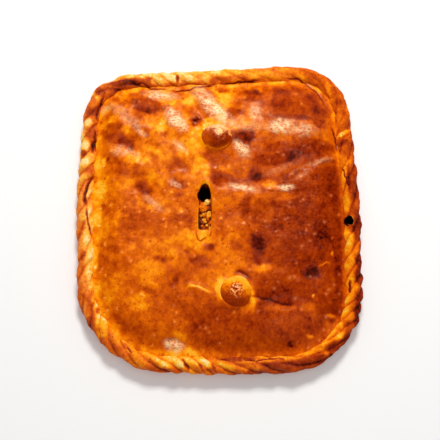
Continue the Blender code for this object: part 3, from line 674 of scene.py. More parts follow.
def dough_dome(name, across, along, margin, floor, height):
    """A grid fitted inside the seam and raised to height(x, y), with a wall down to a flat foot."""
    bpy.ops.mesh.primitive_grid_add(x_subdivisions=across - 1, y_subdivisions=along - 1, size=2.0)
    piece = name_new(name)
    flat = places_of(piece) * MM
    column = np.rint((flat[:, 0] + 1.0) / 2.0 * (across - 1)).astype(int)
    row = np.rint((flat[:, 1] + 1.0) / 2.0 * (along - 1)).astype(int)
    plain_x = grid_lines(across, GRID_HALF_WIDTH, FINE_ACROSS, FINE_SHARES[0])[column]
    plain_y = grid_lines(along, GRID_HALF_LENGTH, FINE_ALONG, FINE_SHARES[1])[row]
    wide, long = plain_x / GRID_HALF_WIDTH, plain_y / GRID_HALF_LENGTH
    square = np.maximum(np.abs(wide), np.abs(long))
    bearing = np.arctan2(long, wide)
    reach = np.interp(bearing, BEARINGS, seam_reach, period=math.tau) + margin
    hug = eased(ramp(square, 0.45, 1.0))  # how closely a line follows the rounded edge
    x = plain_x + (np.cos(bearing) * reach * square - plain_x) * hug
    y = plain_y + (np.sin(bearing) * reach * square - plain_y) * hug
    set_places(piece, np.column_stack([x, y, height(x, y)]))
    bpy.ops.object.mode_set(mode="EDIT")
    bpy.ops.mesh.select_all(action="SELECT")
    bpy.ops.mesh.region_to_loop()
    bpy.ops.mesh.extrude_edges_move(TRANSFORM_OT_translate={"value": (0.0, 0.0, -RING_STEP * MM)})
    bpy.ops.object.mode_set(mode="OBJECT")
    places = places_of(piece)
    places[places[:, 2] < -RING_STEP / 2, 2] = floor
    set_places(piece, places)
    bpy.ops.object.mode_set(mode="EDIT")
    bpy.ops.mesh.edge_face_add()
    face_outwards()
    return piece


def filling_height(x, y):
    _, height, _ = shoulder_of(x, y)
    off_x, off_y = x - VENT_MIDDLE[0], y - VENT_MIDDLE[1]
    dip = VENT_DIP * np.exp(-((off_x / 16.0) ** 4) - (off_y / 36.0) ** 4)
    cx, cy, half_width, half_length, deep = HOLLOW
    out = np.hypot((x - cx) / half_width, (y - cy) / half_length)
    hollow = deep * np.clip(1.0 - out**2.4, 0.0, 1.0) ** 0.6
    flat = level_places(x, y)
    crumbled = 0.9 * unevenness(flat, 3.4, 20) + 0.5 * unevenness(flat, 1.5, 21)
    near_vent = np.exp(-((off_x / 14.0) ** 4) - (off_y / 32.0) ** 4)
    return height - LID_THICKNESS - FILLING_BELOW - dip - hollow + crumbled * near_vent


filling = dough_dome("filling_bed", 110, 130, margin=-17.0, floor=4.4, height=filling_height)
filling_places = places_of(filling)
x, y, level = filling_places.T
in_hollow = np.hypot(x - HOLLOW[0], y - HOLLOW[1]) < 12.0
filling_bake_and_shade = 0.70 + 0.4 * unevenness(filling_places, 3.5, 22)
filling_bake_and_shade += 0.3 * unevenness(filling_places, 1.4, 23) + 0.3 * ramp(x, -14.5, -18.5)
# Painted shade: the deep hollow is painted near black.
filling_bake_and_shade = np.maximum(
    np.clip(filling_bake_and_shade, 0.05, 0.95), 1.05 * ramp(level, 21.0, 17.0) * in_hollow
)
paint(filling, "bake_light_and_shade", filling_bake_and_shade)
smooth_shade(filling, 180)
filling_finish = baked_dough(
    "cheese_and_quince", mottle=2.2, pore=0.8, speckle=0.46, roughness=0.42, shine=0.16, bump=0.12
)
finish(filling, filling_finish, "filling")

# The lumps of cheese and quince and the crumbs that show in the vent. They are soft pieces of
# the filling that rose a little as it melted, and lie half sunk in it.
MORSELS = [  # name, x, y, level, half sizes, turn, bake
    ("cheese_1", -11.0, 10.0, 23.2, (3.0, 2.6, 1.6), 20, 0.06),
    ("quince_1", -14.4, 5.4, 22.8, (4.6, 4.2, 2.0), -25, 0.34),
    ("quince_2", -15.4, 1.8, 22.4, (3.0, 2.0, 1.6), 15, 0.50),
    ("cheese_2", -13.6, -2.4, 22.8, (2.4, 1.6, 1.2), 30, 0.14),
    ("cheese_3", -9.4, -3.6, 22.6, (2.4, 2.6, 1.3), -10, 0.20),
    ("cheese_4", -7.9, -17.2, 24.0, (1.5, 1.2, 1.2), 0, 0.14),
]
CRUMBS = 34
CRUMB_BAKES = (0.14, 0.24, 0.42, 0.60, 0.80)
crumb_dice = np.random.default_rng(23)
for number in range(CRUMBS):
    x, y = crumb_dice.uniform(-17.0, -7.0), crumb_dice.uniform(-17.0, 4.5)
    halves = crumb_dice.uniform(0.7, 1.7, 3) * (1.0, 1.0, 0.8)
    bake_light_and_shade = crumb_dice.choice(CRUMB_BAKES)
    level = crumb_dice.uniform(22.2, 23.6)
    MORSELS.append((f"crumb_{number + 1}", x, y, level, tuple(halves), 40.0 * number, bake_light_and_shade))
for number, (name, x, y, z, halves, turn, bake_light_and_shade) in enumerate(MORSELS):
    bpy.ops.mesh.primitive_ico_sphere_add(subdivisions=4 if halves[0] > 2.0 else 3, radius=MM)
    morsel = name_new("filling_" + name)
    ball = places_of(morsel)
    rough = 1.0 + 0.5 * unevenness(ball, 0.9, 30 + number) + 0.3 * unevenness(ball, 0.4, 50 + number)
    long, wide, up = (ball * rough[:, None] * halves).T
    turned_x, turned_y = turned_to(long, wide, 0.0, 0.0, -turn)
    places = np.column_stack([turned_x + x, turned_y + y, up + z])
    set_places(morsel, places)
    paint(morsel, "bake_light_and_shade", np.clip(bake_light_and_shade + 0.22 * unevenness(places, 1.6, 70 + number), 0.0, 0.9))
    smooth_shade(morsel, 180)
    finish(morsel, filling_finish, "filling")

# The lid: the upper sheet of dough, brushed with egg and slit with a knife before baking. It
# swelled into soft waves and blisters, browned on its crowns and in its dimples, and stayed
# yellow along the rope and round the slit, whose near end sank in as a soft flap.
# Painted glare of the window lies on its slopes and blister tops, and painted shade in its cracks,
# splits and the burst hole.
BROAD_FORMS = (  # x, y, half length, half width, turn, rise: the waves that the solid has too
    (78, 114, 32, 13, 0, 1.5), (69, 89, 36, 12, -8, 2.0), (83, 64, 46, 11, 4, -0.8),
    (86, 38, 50, 13, 10, 0.9), (23, 38, 24, 13, -20, -0.8), (31, 14, 34, 12, -4, 0.8),
    (37, -28, 10, 30, 4, -2.2), (-11, 110, 34, 11, -50, 2.6), (-41, 92, 32, 10, -48, 2.4),
    (-23, 114, 24, 10, -50, -2.4), (-71, 108, 26, 11, -8, -3.0), (-89, 72, 24, 13, -30, -3.0),
    (-76, 27, 14, 12, 0, -2.4), (91, -60, 16, 14, 0, -2.0), (61, -83, 26, 12, -6, -2.2),
    (-17, -90, 22, 14, -20, 2.4), (-38, -130, 14, 12, 0, -2.4), (-89, -48, 34, 26, 30, 2.0),
    (-13, -29, 7, 6, 0, -1.6),
)
FINE_FORMS = (  # dimples and blisters that are too small for it
    (-72, 28, 7, 6, 0, -0.7), (27, 78, 7, 6.5, 0, -0.8), (38, 124, 6, 4, 0, -0.5),
    (-22, 94, 5.5, 5, 0, -0.7), (-92, 72, 11, 5, -30, -0.7), (38, -28, 5, 8, 0, -0.7),
    (41, -47, 3, 8, 0, -0.5), (91, -61, 7, 6, 0, -0.8), (93, -76, 4, 6, 0, -0.5),
    (103, 92, 6, 5, 0, -0.5), (105, -26, 9, 8, 0, -0.8), (3, 31, 6, 8, 0, -1.2),
    (-35, 47, 9, 7, 0, -0.8), (-40, 30, 7, 8, 0, -0.8), (-106, 50, 9, 5, 0, -0.8),
    (-112, 2, 6, 8, 0, -0.6), (-85, 9, 9, 6, 0, -0.7), (-20, -49, 7, 4, 30, -0.6),
    (-41, -69, 6, 4, 30, -0.6), (39, 132, 6, 3, 0, 1.0), (60, 135, 8, 4, 0, 1.0),
    (-59, 124, 12, 5, -12, 1.2), (-81, 87, 8, 6, 0, 0.9), (-109, 86, 10, 9, 0, 1.2),
    (-100, 61, 9, 4, -10, 0.9), (-62, 11, 10, 3, -30, 0.7), (-47, 27, 6, 2, -25, 0.6),
    (-33, 84, 9, 3.5, -52, 0.9), (3, 100, 12, 4, -56, 1.0), (38, 104, 9, 6, -20, 0.8),
    (63, 91, 12, 3.5, -8, 0.9), (88, 86, 12, 4, -6, 0.8), (25, 63, 9, 4, -35, 1.0),
    (24, -63, 6, 2.5, -20, -0.5), (-35, -140, 12, 4, 0, 1.0), (-33, -130, 8, 4, 0, -0.9),
    (-22, -76, 10, 3, -22, 0.6),
)
FOLDED_LINES = (  # soft creases: rise, width of the far side and of the near side, and the line
    (1.3, 1.3, 6.0, ((-34.0, -76.0), (-26.0, -73.0), (-16.0, -76.5), (-5.0, -81.5))),
    (0.8, 4.0, 2.0, ((-5.0, -81.5), (-1.0, -88.0), (1.0, -98.0))),
    (0.7, 2.0, 5.0, ((-80.0, -64.0), (-68.0, -70.0), (-58.0, -76.0))),
    (0.6, 2.5, 5.0, ((-58.0, 122.0), (-46.0, 98.0), (-32.0, 83.0))),
)
# The tone of each split is painted shade along it.
SPLITS = (  # fine splits in the lid: half width, depth, tone, and the line
    (
        1.1, 0.6, 0.97,
        ((30.0, -84.5), (42.0, -86.0), (52.0, -88.0), (60.0, -91.0), (67.0, -93.0), (77.0, -91.5)),
    ),
    (1.6, 0.3, 0.90, ((15.0, -60.8), (21.0, -60.6), (27.0, -63.2), (32.5, -69.5))),
    (0.5, 0.7, 0.60, ((-21.6, -20.3), (-21.3, -24.5), (-19.6, -29.0), (-16.6, -30.5), (-9.8, -25.5))),
    (0.5, 0.7, 0.60, ((-6.8, -20.5), (-7.4, -23.5), (-8.8, -26.0))),
)
SLOPES = (  # flat places: x, y, half length, half width, turn, the share of the slope that mirrors the window, and how strong the painted glare of the window is there
    # mirrors the window, and how pale the glaze dried there
    (-22, 94, 5, 5, 0, -1.0, 0.0), (25, 77, 8, 7, -10, -1.0, 0.0), (-71, 108, 12, 6, -8, -0.4, 0.0),
    (-76, 25, 8, 7, 0, -0.3, 0.0), (-60, 124, 15, 5, -8, 1.0, 0.85), (-98, 103, 16, 5, -45, 0.4, 0.3),
    (-44, 96, 13, 6, -50, 1.0, 1.3), (-5, 109, 25, 7, -47, 1.0, 1.1), (24, 64, 10, 5, -48, 1.0, 0.9),
    (38, 102, 6, 9, 0, 0.7, 0.6), (64, 88, 12, 7, 0, 1.0, 1.0), (86, 84, 12, 6, 5, 0.8, 0.55),
    (-98, 63, 9, 5, 0, 0.8, 0.4), (100, 51, 14, 2.6, 22, 0.7, 0.35), (84, 37, 7, 3, 30, 0.6, 0.2),
    (25, 23, 14, 3.2, -10, 0.9, 0.75), (67, 24, 8, 3, 0, 1.0, 0.9), (-64, 8, 12, 3.5, -40, 0.6, 0.35),
    (-43, 27, 7, 3, -30, 0.7, 0.35), (-38, 66, 8, 4, -40, 1.0, 0.45), (-78, 82, 6, 3, -30, 1.0, 0.5),
    (-16, 127, 7, 5, -30, 1.0, 0.6), (-42, -130, 8, 3.5, -10, 1.0, 1.0),
)
WINDOW_PLACE = (0.10, 0.90, 1.20)  # in metres
SLOPE_LEVEL = 29.0  # of the lid where the slopes and most patches lie
LOW_PATCH_LEVEL = 28.5  # and where the patches lie that are placed by their middles alone
BUTTON_SEATS = {"far": (-1.0, 76.0, 15.8, 13.5), "near": (17.0, -80.8, 16.0, 15.8)}
BUTTON_FILLET = 2.0  # how far the lid's dough rises against a button
PIE_REACH = 150.0  # from the middle to the seam, roughly
BLISTERS = 420
PITS = 260
VENT_OUTLINE = (  # from the far tip, down the right side and back up the left one
    (-12.6, 28.6), (-9.8, 27.0), (-8.0, 22.5), (-6.8, 17.0), (-6.3, 10.0), (-6.1, 2.0),
    (-6.3, -8.0), (-6.9, -16.4), (-8.2, -18.8), (-13.0, -19.4), (-18.0, -19.2), (-19.4, -17.8),
    (-19.6, -11.0), (-19.5, -3.0), (-19.0, 4.0), (-18.9, 9.6), (-20.2, 12.2), (-20.9, 16.0),
    (-20.6, 19.0), (-18.9, 20.4), (-18.0, 23.6), (-16.2, 27.0),
)
LIP_DROP = 1.5  # how far the cut edge is rounded over
LIP_WIDTH = 1.3
VENT_FOOT, VENT_HEAD = 21.0, 40.0  # levels that the cut runs between
LID_FOOT, HOLLOW_FOOT = 13.4, 9.0


def placed(level, *patches):
    """Patches in millimetres, whose middles alone are given as pixels of the photo."""
    return [(*[round(v) for v in seen_at(*patch[:2], level)], *patch[2:]) for patch in patches]


# A few tiny pale specks among these patches are painted highlights on small bubbles.
LID_TONES = (  # browned and pale patches, as read off the photo and, from later looks, in
    # millimetres: x, y, half length, half width, turn, tone
    *read_off(
        SLOPE_LEVEL,
        (305, 225, 50, 78, 0, 0.74), (265, 325, 75, 28, 0, 0.69), (150, 325, 45, 22, 0, 0.50),
        (205, 325, 26, 18, 0, 0.60), (252, 228, 8, 34, 0, 0.60), (276, 290, 24, 16, 0, 0.69),
        (292, 101, 29, 16, 0, 0.66), (302, 149, 36, 8, 5, 0.76), (288, 156, 12, 5, 10, 0.81),
        (305, 170, 34, 12, 8, 0.60), (322, 186, 22, 14, 0, 0.71), (140, 140, 50, 45, 0, 0.37),
        (120, 93, 12, 7, -10, 0.26), (183, 100, 13, 10, -40, 0.26), (190, 97, 6, 5, 0, 0.20),
        (147, 104, 22, 7, -12, 0.60), (145, 108, 10, 4, -5, 0.75), (186, 112, 14, 9, -40, 0.46),
        (105, 105, 8, 5, 40, 0.19), (113, 131, 14, 10, -20, 0.66), (127, 143, 11, 5, -35, 0.79),
    ),
    (-116, 86, 5, 4, 0, 0.60),
    *read_off(
        SLOPE_LEVEL,
        (112, 147, 12, 4, -10, 0.27), (140, 152, 10, 9, 0, 0.31), (146, 126, 20, 7, -55, 0.33),
        (147, 131, 3, 6, 0, 0.62), (160, 120, 9, 7, 0, 0.37), (172, 150, 10, 6, 0, 0.50),
        (176, 165, 8, 10, 0, 0.56), (183, 167, 4, 4, 0, 0.67), (172, 142, 8, 3, -10, 0.62),
        (177, 183, 7, 6, 0, 0.67), (143, 187, 8, 7, -35, 0.84), (115, 163, 9, 7, -30, 0.48),
        (106, 157, 2, 2, 0, 0.84), (130, 171, 14, 6, 0, 0.49), (192, 140, 8, 14, -10, 0.24),
        (203, 166, 5, 11, 0, 0.28), (199, 155, 2, 1.5, 0, 0.78), (222, 158, 17, 6, -5, 0.61),
        (213, 164, 5, 8, 0, 0.60), (165, 157, 9, 7, -40, 0.35), (133, 202, 2.5, 4, 0, 0.68),
        (180, 195, 3, 2, 0, 0.64), (225, 97, 5, 14, -25, 0.26), (236, 100, 8, 10, 0, 0.42),
        (252, 93, 7, 5, -20, 0.77), (255, 86, 7, 2, -20, 0.20), (238, 85, 8, 4, 10, 0.26),
        (237, 112, 8, 2, -10, 0.68), (275, 96, 2.5, 12, 0, 0.72), (292, 117, 24, 2.5, -4, 0.76),
        (317, 108, 6, 7, -30, 0.82), (319, 123, 3, 3, 0, 0.90), (324, 133, 12, 5, 0, 0.42),
        (255, 142, 12, 6, 0, 0.50), (267, 152, 9, 8, 0, 0.62), (255, 165, 6, 6, 0, 0.67),
        (240, 166, 10, 7, 0, 0.46), (218, 178, 7, 8, 0, 0.72), (240, 180, 15, 3.5, 0, 0.64),
        (285, 178, 6, 4, -30, 0.75), (276, 196, 20, 5, 0, 0.45), (332, 182, 9, 15, 0, 0.74),
        (137, 220, 14, 10, -20, 0.58), (132, 222, 5, 8, 0, 0.67), (152, 210, 13, 5, -10, 0.55),
        (108, 209, 9, 6, 0, 0.58), (109, 211, 3, 4, 0, 0.66), (177, 225, 15, 12, 10, 0.54),
        (190, 219, 4, 5, 0, 0.62), (110, 222, 9, 6, 0, 0.33), (195, 238, 14, 7, -20, 0.20),
        (180, 242, 12, 7, 30, 0.27), (203, 238, 7, 8, 0, 0.18), (173, 247, 7, 10, 40, 0.34),
        (209, 248, 5, 3.5, -10, 0.80), (186, 253, 2, 2, 0, 0.70), (198, 262, 9, 6, -20, 0.66),
        (194, 261, 4, 3, 0, 0.77), (160, 259, 6, 4, -25, 0.71), (125, 263, 17, 6, 15, 0.56),
        (117, 250, 12, 4, -10, 0.56), (152, 268, 12, 7, -10, 0.30), (178, 280, 14, 8, 30, 0.60),
        (175, 280, 3, 3, 0, 0.84), (171, 284, 4, 2, 0, 0.78), (148, 290, 9, 3, -20, 0.69),
        (148, 281, 8, 2, -30, 0.26), (135, 301, 12, 7, -35, 0.30), (190, 301, 20, 11, 0, 0.58),
    ),
    (3, -76, 5, 12, 0, 0.25),
    *read_off(
        SLOPE_LEVEL,
        (226, 271, 12, 6, 0, 0.32), (233, 262, 10, 5, 0, 0.31), (258, 268, 6, 3.5, 0, 0.20),
        (124, 330, 10, 6, -50, 0.59), (146, 335, 20, 9, 0, 0.53), (200, 325, 12, 3, 5, 0.71),
        (128, 346, 5, 2, -40, 0.76), (178, 336, 7, 5, 0, 0.30), (180, 353, 13, 4.5, 0, 0.17),
        (213, 340, 8, 6, 0, 0.64), (245, 207, 5, 10, -20, 0.67), (247, 205, 2, 6, 0, 0.76),
        (232, 214, 5, 4, 0, 0.56), (258, 242, 6, 9, -10, 0.85), (259, 243, 3, 5, 0, 0.92),
        (263, 253, 2.5, 8, 0, 0.77), (257, 262, 5, 2, 0, 0.71), (237, 246, 7, 4, -10, 0.64),
    ),
    (102, -24, 11, 11, 0, 0.87),
    *read_off(
        SLOPE_LEVEL,
        (325, 227, 8, 5, -40, 0.81), (312, 271, 7, 6, -20, 0.88), (312, 270, 4, 3, 0, 0.94),
        (315, 286, 3, 9, 0, 0.80), (336, 236, 4, 2, -10, 0.40), (288, 223, 4, 3, 0, 0.79),
        (279, 226, 3, 1.5, 0, 0.80), (276, 292, 13, 6, 10, 0.75), (291, 299, 5, 4, 0, 0.60),
        (330, 301, 13, 15, 0, 0.75), (325, 285, 8, 7, 0, 0.67), (309, 318, 3, 3, 0, 0.85),
        (332, 315, 5, 2, -10, 0.36), (332, 320, 4, 2, 0, 0.80), (311, 336, 4, 2, 0, 0.21),
        (315, 328, 9, 3, 0, 0.78), (285, 334, 3, 2, 0, 0.87), (290, 344, 4, 2, -20, 0.85),
        # The tiny pale specks at the end of this group are painted highlights on small bubbles.
        (308, 307, 6, 4, 0, 0.43), (262, 315, 6, 10, 0, 0.75), (265, 219, 1.3, 1.3, 0, 0.00),
        (314, 295, 1.5, 1.5, 0, 0.03), (334, 253, 1.5, 2, 0, 0.10),
    ),
    (-64, 129, 10, 3, 4, 0.18), (-32, 119, 10, 5, -20, 0.18),
    *placed(
        LOW_PATCH_LEVEL,
        (223, 92, 9, 9, 0, 0.15), (228, 103, 8, 8, 0, 0.22), (212, 121, 19, 4.5, 8, 0.12),
    ),
    (-22, 73, 4.5, 20, 0, 0.14), (-20, 48, 4.5, 18, 0, 0.18),
    *placed(
        LOW_PATCH_LEVEL,
        (205, 172, 6, 10, 0, 0.20), (160, 120, 6, 9, 0, 0.18), (172, 140, 11, 5, -25, 0.31),
        (135, 159, 12, 4, 0, 0.21), (152, 150, 9, 5, 0, 0.24), (112, 118, 7, 4, 0, 0.26),
        (147, 118, 6, 5, 0, 0.30), (166, 100, 8, 4, -20, 0.14), (97, 160, 5, 9, 0, 0.10),
        (98, 188, 7, 12, 0, 0.09),
    ),
    (-122, -1, 5, 12, 0, 0.12), (3, -75, 5, 11, 0, 0.11),
    *placed(
        LOW_PATCH_LEVEL,
        (229, 272, 9, 5, -20, 0.34), (252, 297, 3, 12, 0, 0.17), (246, 309, 5, 4, 40, 0.40),
        (262, 268, 8, 4, 0, 0.22), (217, 153, 14, 4, 0, 0.56), (180, 352, 16, 5, 0, 0.14),
        (215, 128, 20, 3, 0, 0.10),
    ),
    (27, 4, 4, 9, -10, 0.82), (37, 122, 7, 6, 0, 0.86), (111, 109, 6, 9, -20, 0.68),
    (50, 53, 14, 5, 5, 0.76), (92, 124, 13, 6, -10, 0.68), (70, 57, 16, 4, 8, 0.86),
    (66, -88, 9, 4, 5, 0.85), (17, 104, 8, 3, -5, 0.82), (4, 34, 9, 6, 0, 0.76),
    (4, 132, 7, 3, 0, 0.60), (52, 27, 9, 4.5, -20, 0.18), (38, 36, 7, 5.5, -20, 0.88),
    (-32, 105, 8, 6, 0, 0.52),
    *read_off(
        SLOPE_LEVEL,
        (196, 120, 5, 5, 0, 0.82),
    ),
    (-1, 92, 17, 4, 0, 0.16), (-19, 76, 3.5, 13, 0, 0.15), (-34, 60, 8, 6, 0, 0.13),
    (-56, 9, 6, 5, 0, 0.17), (-85, 128, 7, 4, 5, 0.54), (-108, 120, 6, 4, 30, 0.44),
    (41, 120, 7, 4, -20, 0.68), (60, -84, 19, 5, -8, 0.80), (119, -45, 5, 60, 0, 0.80),
    (118, 25, 5, 24, 0, 0.80), (91, -61, 8, 6.5, 0, 0.94), (-109, -115, 5, 8, 40, 0.14),
    (66, 52, 14, 4, 8, 0.88), (34, 128, 6, 4.5, -10, 0.86), (31, 119, 5, 4, 0, 0.74),
    (-17, 68, 5, 6, 0, 0.16), (-92, 87, 5, 5, 0, 0.22), (-66, 3, 6, 4, -20, 0.24),
    (26, 77, 11, 8, 0, 0.94), (-33, -113, 7, 6, 0, 0.42), (-76, 94, 6, 5, 0, 0.42),
    (106, -114, 5, 5, 0, 0.50), (61, 67, 9, 4, 5, 0.78), (-114, -20, 6, 8, 0, 0.30),
    (21, 43, 6, 5, 0, 0.60), (60, -96, 14, 3, 0, 0.50), (-34, 120, 6, 4, 0, 0.24),
    (50, -5, 7, 8, 0, 0.58), (-36, 3, 6, 5, 0, 0.36), (97, -114, 7, 6, 0, 0.74),
    (104, 95, 6, 7, 0, 0.72), (-35, 43, 6, 5, 0, 0.60), (95, 119, 8, 5, -20, 0.76),
    (5, -20, 6, 7, 0, 0.55), (-113, -61, 5, 8, 0, 0.36), (46, 120, 6, 5, 0, 0.66),
    (14, 103, 5, 6, -40, 0.66), (38, -47, 4, 6, 0, 0.80), (40, -32, 6, 9, 0, 0.90),
    (-34, 27, 5, 5, 0, 0.58), (-99, -115, 5, 5, 0, 0.42), (-59, 86, 5, 5, 0, 0.18),
    (-20, 35, 5, 5, 0, 0.42),
)
PAINTED_GLARE_PLACES = (  # places where a pale glare of the window is painted: as in the tones, with how strong it is
    (34, 88, 15, 4, 0, 0.35), (-115, 110, 6, 4, 45, 0.35), (-36, 87, 6, 4, -50, 0.6),
    (62, 43, 17, 3, 22, 0.1), (-85, 93, 9, 4, -45, 0.45), (-43, -132, 7, 5, -20, 0.9),
    (-88, 60, 9, 4, -20, 0.3),
)
DULL_SKIN = (  # and places where the glaze dried dull: as in the tones, with how dull they are
    (78, 112, 28, 14, 0, 1.0), (52, 54, 26, 9, 5, 1.0), (17, 106, 7, 11, -40, 1.0),
    (-31, 105, 7, 7, 0, 1.0), (2, 31, 9, 6, 0, 1.0), (44, 34, 12, 8, 0, 0.8), (66, -90, 14, 6, 0, 1.0),
    (-100, 72, 10, 5, -20, 1.0), (-76, 104, 14, 7, 0, 0.8), (104, 96, 9, 14, 0, 0.8),
    (14, 60, 7, 6, 0, 1.0), (54, 69, 12, 6, 0, 1.0), (91, -60, 7, 6, 0, 1.0), (40, -50, 5, 4, 0, 1.0),
    (17, 109, 6, 9, -40, 1.0), (25, 77, 9, 7, 0, 1.0), (40, -32, 7, 9, 0, 1.0),
    (84, -116, 30, 12, 0, 0.8),
)
PALE_LINES = (  # sharp creases painted pale: half width, tone, and the line; the first is a painted highlight on a fold's crest
    (1.0, 0.03, ((-30.8, -77.5), (-27.0, -74.2), (-20.0, -75.0), (-12.4, -78.8), (-4.7, -81.8))),
    (0.8, 0.30, ((96.7, -54.9), (102.0, -53.8), (107.2, -50.7), (111.4, -52.2))),
)
SEAM_PALE = (  # along the rope: bearing in degrees, share of yellow, and how far inwards
    (-180, 0.9, 9.0), (-160, 0.8, 5.0), (-140, 0.9, 6.0), (-125, 0.8, 5.0), (-100, 0.3, 3.0),
    (-75, 0.2, 3.0), (-50, 0.1, 3.0), (-30, 0.3, 3.0), (0, 0.15, 3.0), (20, 0.4, 3.0),
    (35, 0.3, 3.0), (55, 0.45, 4.0), (80, 0.7, 8.0), (110, 0.6, 7.0), (140, 0.6, 8.0),
    (165, 0.8, 9.0), (180, 0.9, 9.0),
)


def swells(x, y, forms):
    """Rounded swellings and hollows: x, y, half length, half width, turn in degrees, rise."""
    total = np.zeros_like(x)
    for cx, cy, length, width, turn, rise in forms:
        along, across = turned_to(x, y, cx, cy, turn)
        total += rise * np.exp(-((along / length) ** 2) - (across / width) ** 2)
    return total


def beyond_vent(x, y):
    """Distance outside the vent's outline, and below 0 inside it."""
    closed = VENT_OUTLINE + VENT_OUTLINE[:1]
    distance, _ = from_line(x, y, closed)
    inside = np.zeros(x.shape, bool)
    for (ax, ay), (bx, by) in zip(closed, closed[1:]):
        crosses = (ay > y) != (by > y)
        if ay != by:
            inside ^= crosses & (x < ax + (y - ay) / (by - ay) * (bx - ax))
    return np.where(inside, -1.0, 1.0) * np.abs(distance)


def seat_level(x, y):
    return SEAM_TOP + SHOULDER_RISE + CROWN_RISE * (1.0 - (math.hypot(x, y) / PIE_REACH) ** 2)


def lid_waves(x, y):
    """The lid's height with its waves, dimples and seats, before the finest relief."""
    climbed, height, _ = shoulder_of(x, y)
    flat = level_places(x, y)
    height = height + swells(x, y, BROAD_FORMS) * climbed
    for cx, cy, half_width, half_depth in BUTTON_SEATS.values():
        right, back = (x - cx) / half_width, (y - cy) / half_depth
        beyond = (np.hypot(right, back) - 1.0) * half_width
        height += (seat_level(cx, cy) - height) * ramp(beyond, 12.0, 6.0)
        fillet = BUTTON_FILLET * np.clip(0.65 - 0.5 * back - 0.4 * right, 0.25, 1.3)
        height += fillet * np.exp(-np.clip(beyond, 0.0, None) / 2.4)
    height += swells(x, y, FINE_FORMS)
    shake_x, shake_y = unevenness(flat, 9.0, 80) * 2.4, unevenness(flat, 9.0, 81) * 2.4
    for rise, far_width, near_width, line in FOLDED_LINES:
        distance, share = from_line(x + shake_x, y + shake_y, line)
        width = np.where(distance > 0, far_width, near_width)
        ends = np.sin(math.pi * np.clip(share, 0.02, 0.98)) ** 0.5
        height += rise * np.exp(-((distance / width) ** 2)) * ends
    for width, most, _, line in SPLITS:
        distance, share = from_line(x + shake_x * 0.4, y + shake_y * 0.4, line)
        height -= most * np.exp(-((distance / width) ** 2)) * tapered(share, 6.0) ** 0.5
    return height + 1.1 * unevenness(flat, 26.0, 82) * climbed


def blisters_and_pits(x, y):
    """For each: the places near it, its share of them, its size, and its rise, below 0 in a pit."""
    dice = np.random.default_rng(5)
    for number in range(BLISTERS + PITS):
        cx, cy = dice.uniform(-125.0, 125.0), dice.uniform(-142.0, 142.0)
        size = dice.uniform(0.9, 2.6) if number < BLISTERS else dice.uniform(0.7, 1.2)
        rise = dice.uniform(0.15, 0.4) if number < BLISTERS else -dice.uniform(0.3, 0.7)
        near = np.abs(x - cx) + np.abs(y - cy) < 3.0 * size
        yield near, np.exp(-((x[near] - cx) ** 2 + (y[near] - cy) ** 2) / size**2), size, rise


def lid_height(x, y):
    flat = level_places(x, y)
    climbed, _, inward = shoulder_of(x, y)
    rough = climbed.copy()  # how much of the finest relief a place has
    beside = np.array([(2.0, 0.0), (-2.0, 0.0), (0.0, 2.0), (0.0, -2.0)])
    probes = (np.array(SLOPES)[:, None, :2] + beside).reshape(-1, 2)
    wide_x, wide_y = np.append(x, probes[:, 0]), np.append(y, probes[:, 1])
    height = lid_waves(wide_x, wide_y)
    wide = level_places(wide_x, wide_y)
    bend_along, bend_across = [
        2.6 * unevenness(wide, 7.0, seed) + 1.6 * unevenness(wide, 3.0, seed + 1)
        for seed in (86, 88)
    ]
    for number, (cx, cy, length, width, turn, steep, _) in enumerate(SLOPES):
        probed = len(x) + len(beside) * number
        place = Vector((cx, cy, SLOPE_LEVEL)) * MM
        half = (Vector(WINDOW_PLACE) - place).normalized() + (CAMERA_PLACE - place).normalized()
        along, across = turned_to(wide_x, wide_y, cx, cy, turn)
        half_along, half_across = turned_to(half.x, half.y, 0.0, 0.0, turn)
        plane = -steep * (0.7 * half_along * along + half_across * across) / half.z
        plane += height[probed : probed + len(beside)].mean()
        ragged = np.hypot((along + bend_along) / length, (across + bend_across) / width)
        fading = np.exp(-((ragged / 1.1) ** 3))
        height += (plane - height) * fading
        rough *= 1.0 - 0.35 * fading[: len(x)]
    height = height[: len(x)]
    height += 0.55 * unevenness(flat, 11.0, 83) * rough
    height += (0.24 * unevenness(flat, 5.0, 84) + 0.13 * unevenness(flat, 2.4, 85)) * rough
    for near, share, _, rise in blisters_and_pits(x, y):
        height[near] += rise * share * (rough[near] if rise > 0 else 1.0)
    beyond = beyond_vent(x, y)
    height -= LIP_DROP * np.exp(-((np.clip(beyond, 0.0, None) / LIP_WIDTH) ** 1.5))
    split, _ = crack_depth(x, y)
    return height - 0.7 * split - 0.32 * np.clip(-inward, 0.0, None)


def hollow_height(x, y):
    return shoulder_of(x, y)[1] - LID_THICKNESS


lid = dough_dome("lid_sheet", 290, 320, margin=3.0, floor=LID_FOOT, height=lid_height)
hollow = dough_dome("lid_hollow", 60, 70, margin=-6.0, floor=HOLLOW_FOOT, height=hollow_height)
apply_boolean(lid, hollow, "DIFFERENCE")
bpy.ops.mesh.primitive_circle_add(vertices=len(VENT_OUTLINE), radius=1.0, fill_type="NGON")
cutter = name_new("vent_cutter")
cutter_places = places_of(cutter)
cutter_order = np.argsort(-np.arctan2(cutter_places[:, 1], cutter_places[:, 0]))
cutter_places[cutter_order] = [(x, y, VENT_FOOT) for x, y in VENT_OUTLINE]
set_places(cutter, cutter_places)
bpy.ops.object.mode_set(mode="EDIT")
bpy.ops.mesh.select_all(action="SELECT")
bpy.ops.mesh.extrude_region_move(
    TRANSFORM_OT_translate={"value": (0.0, 0.0, (VENT_HEAD - VENT_FOOT) * MM)}
)
face_outwards()
apply_boolean(lid, cutter, "DIFFERENCE")
cut_burst(lid)

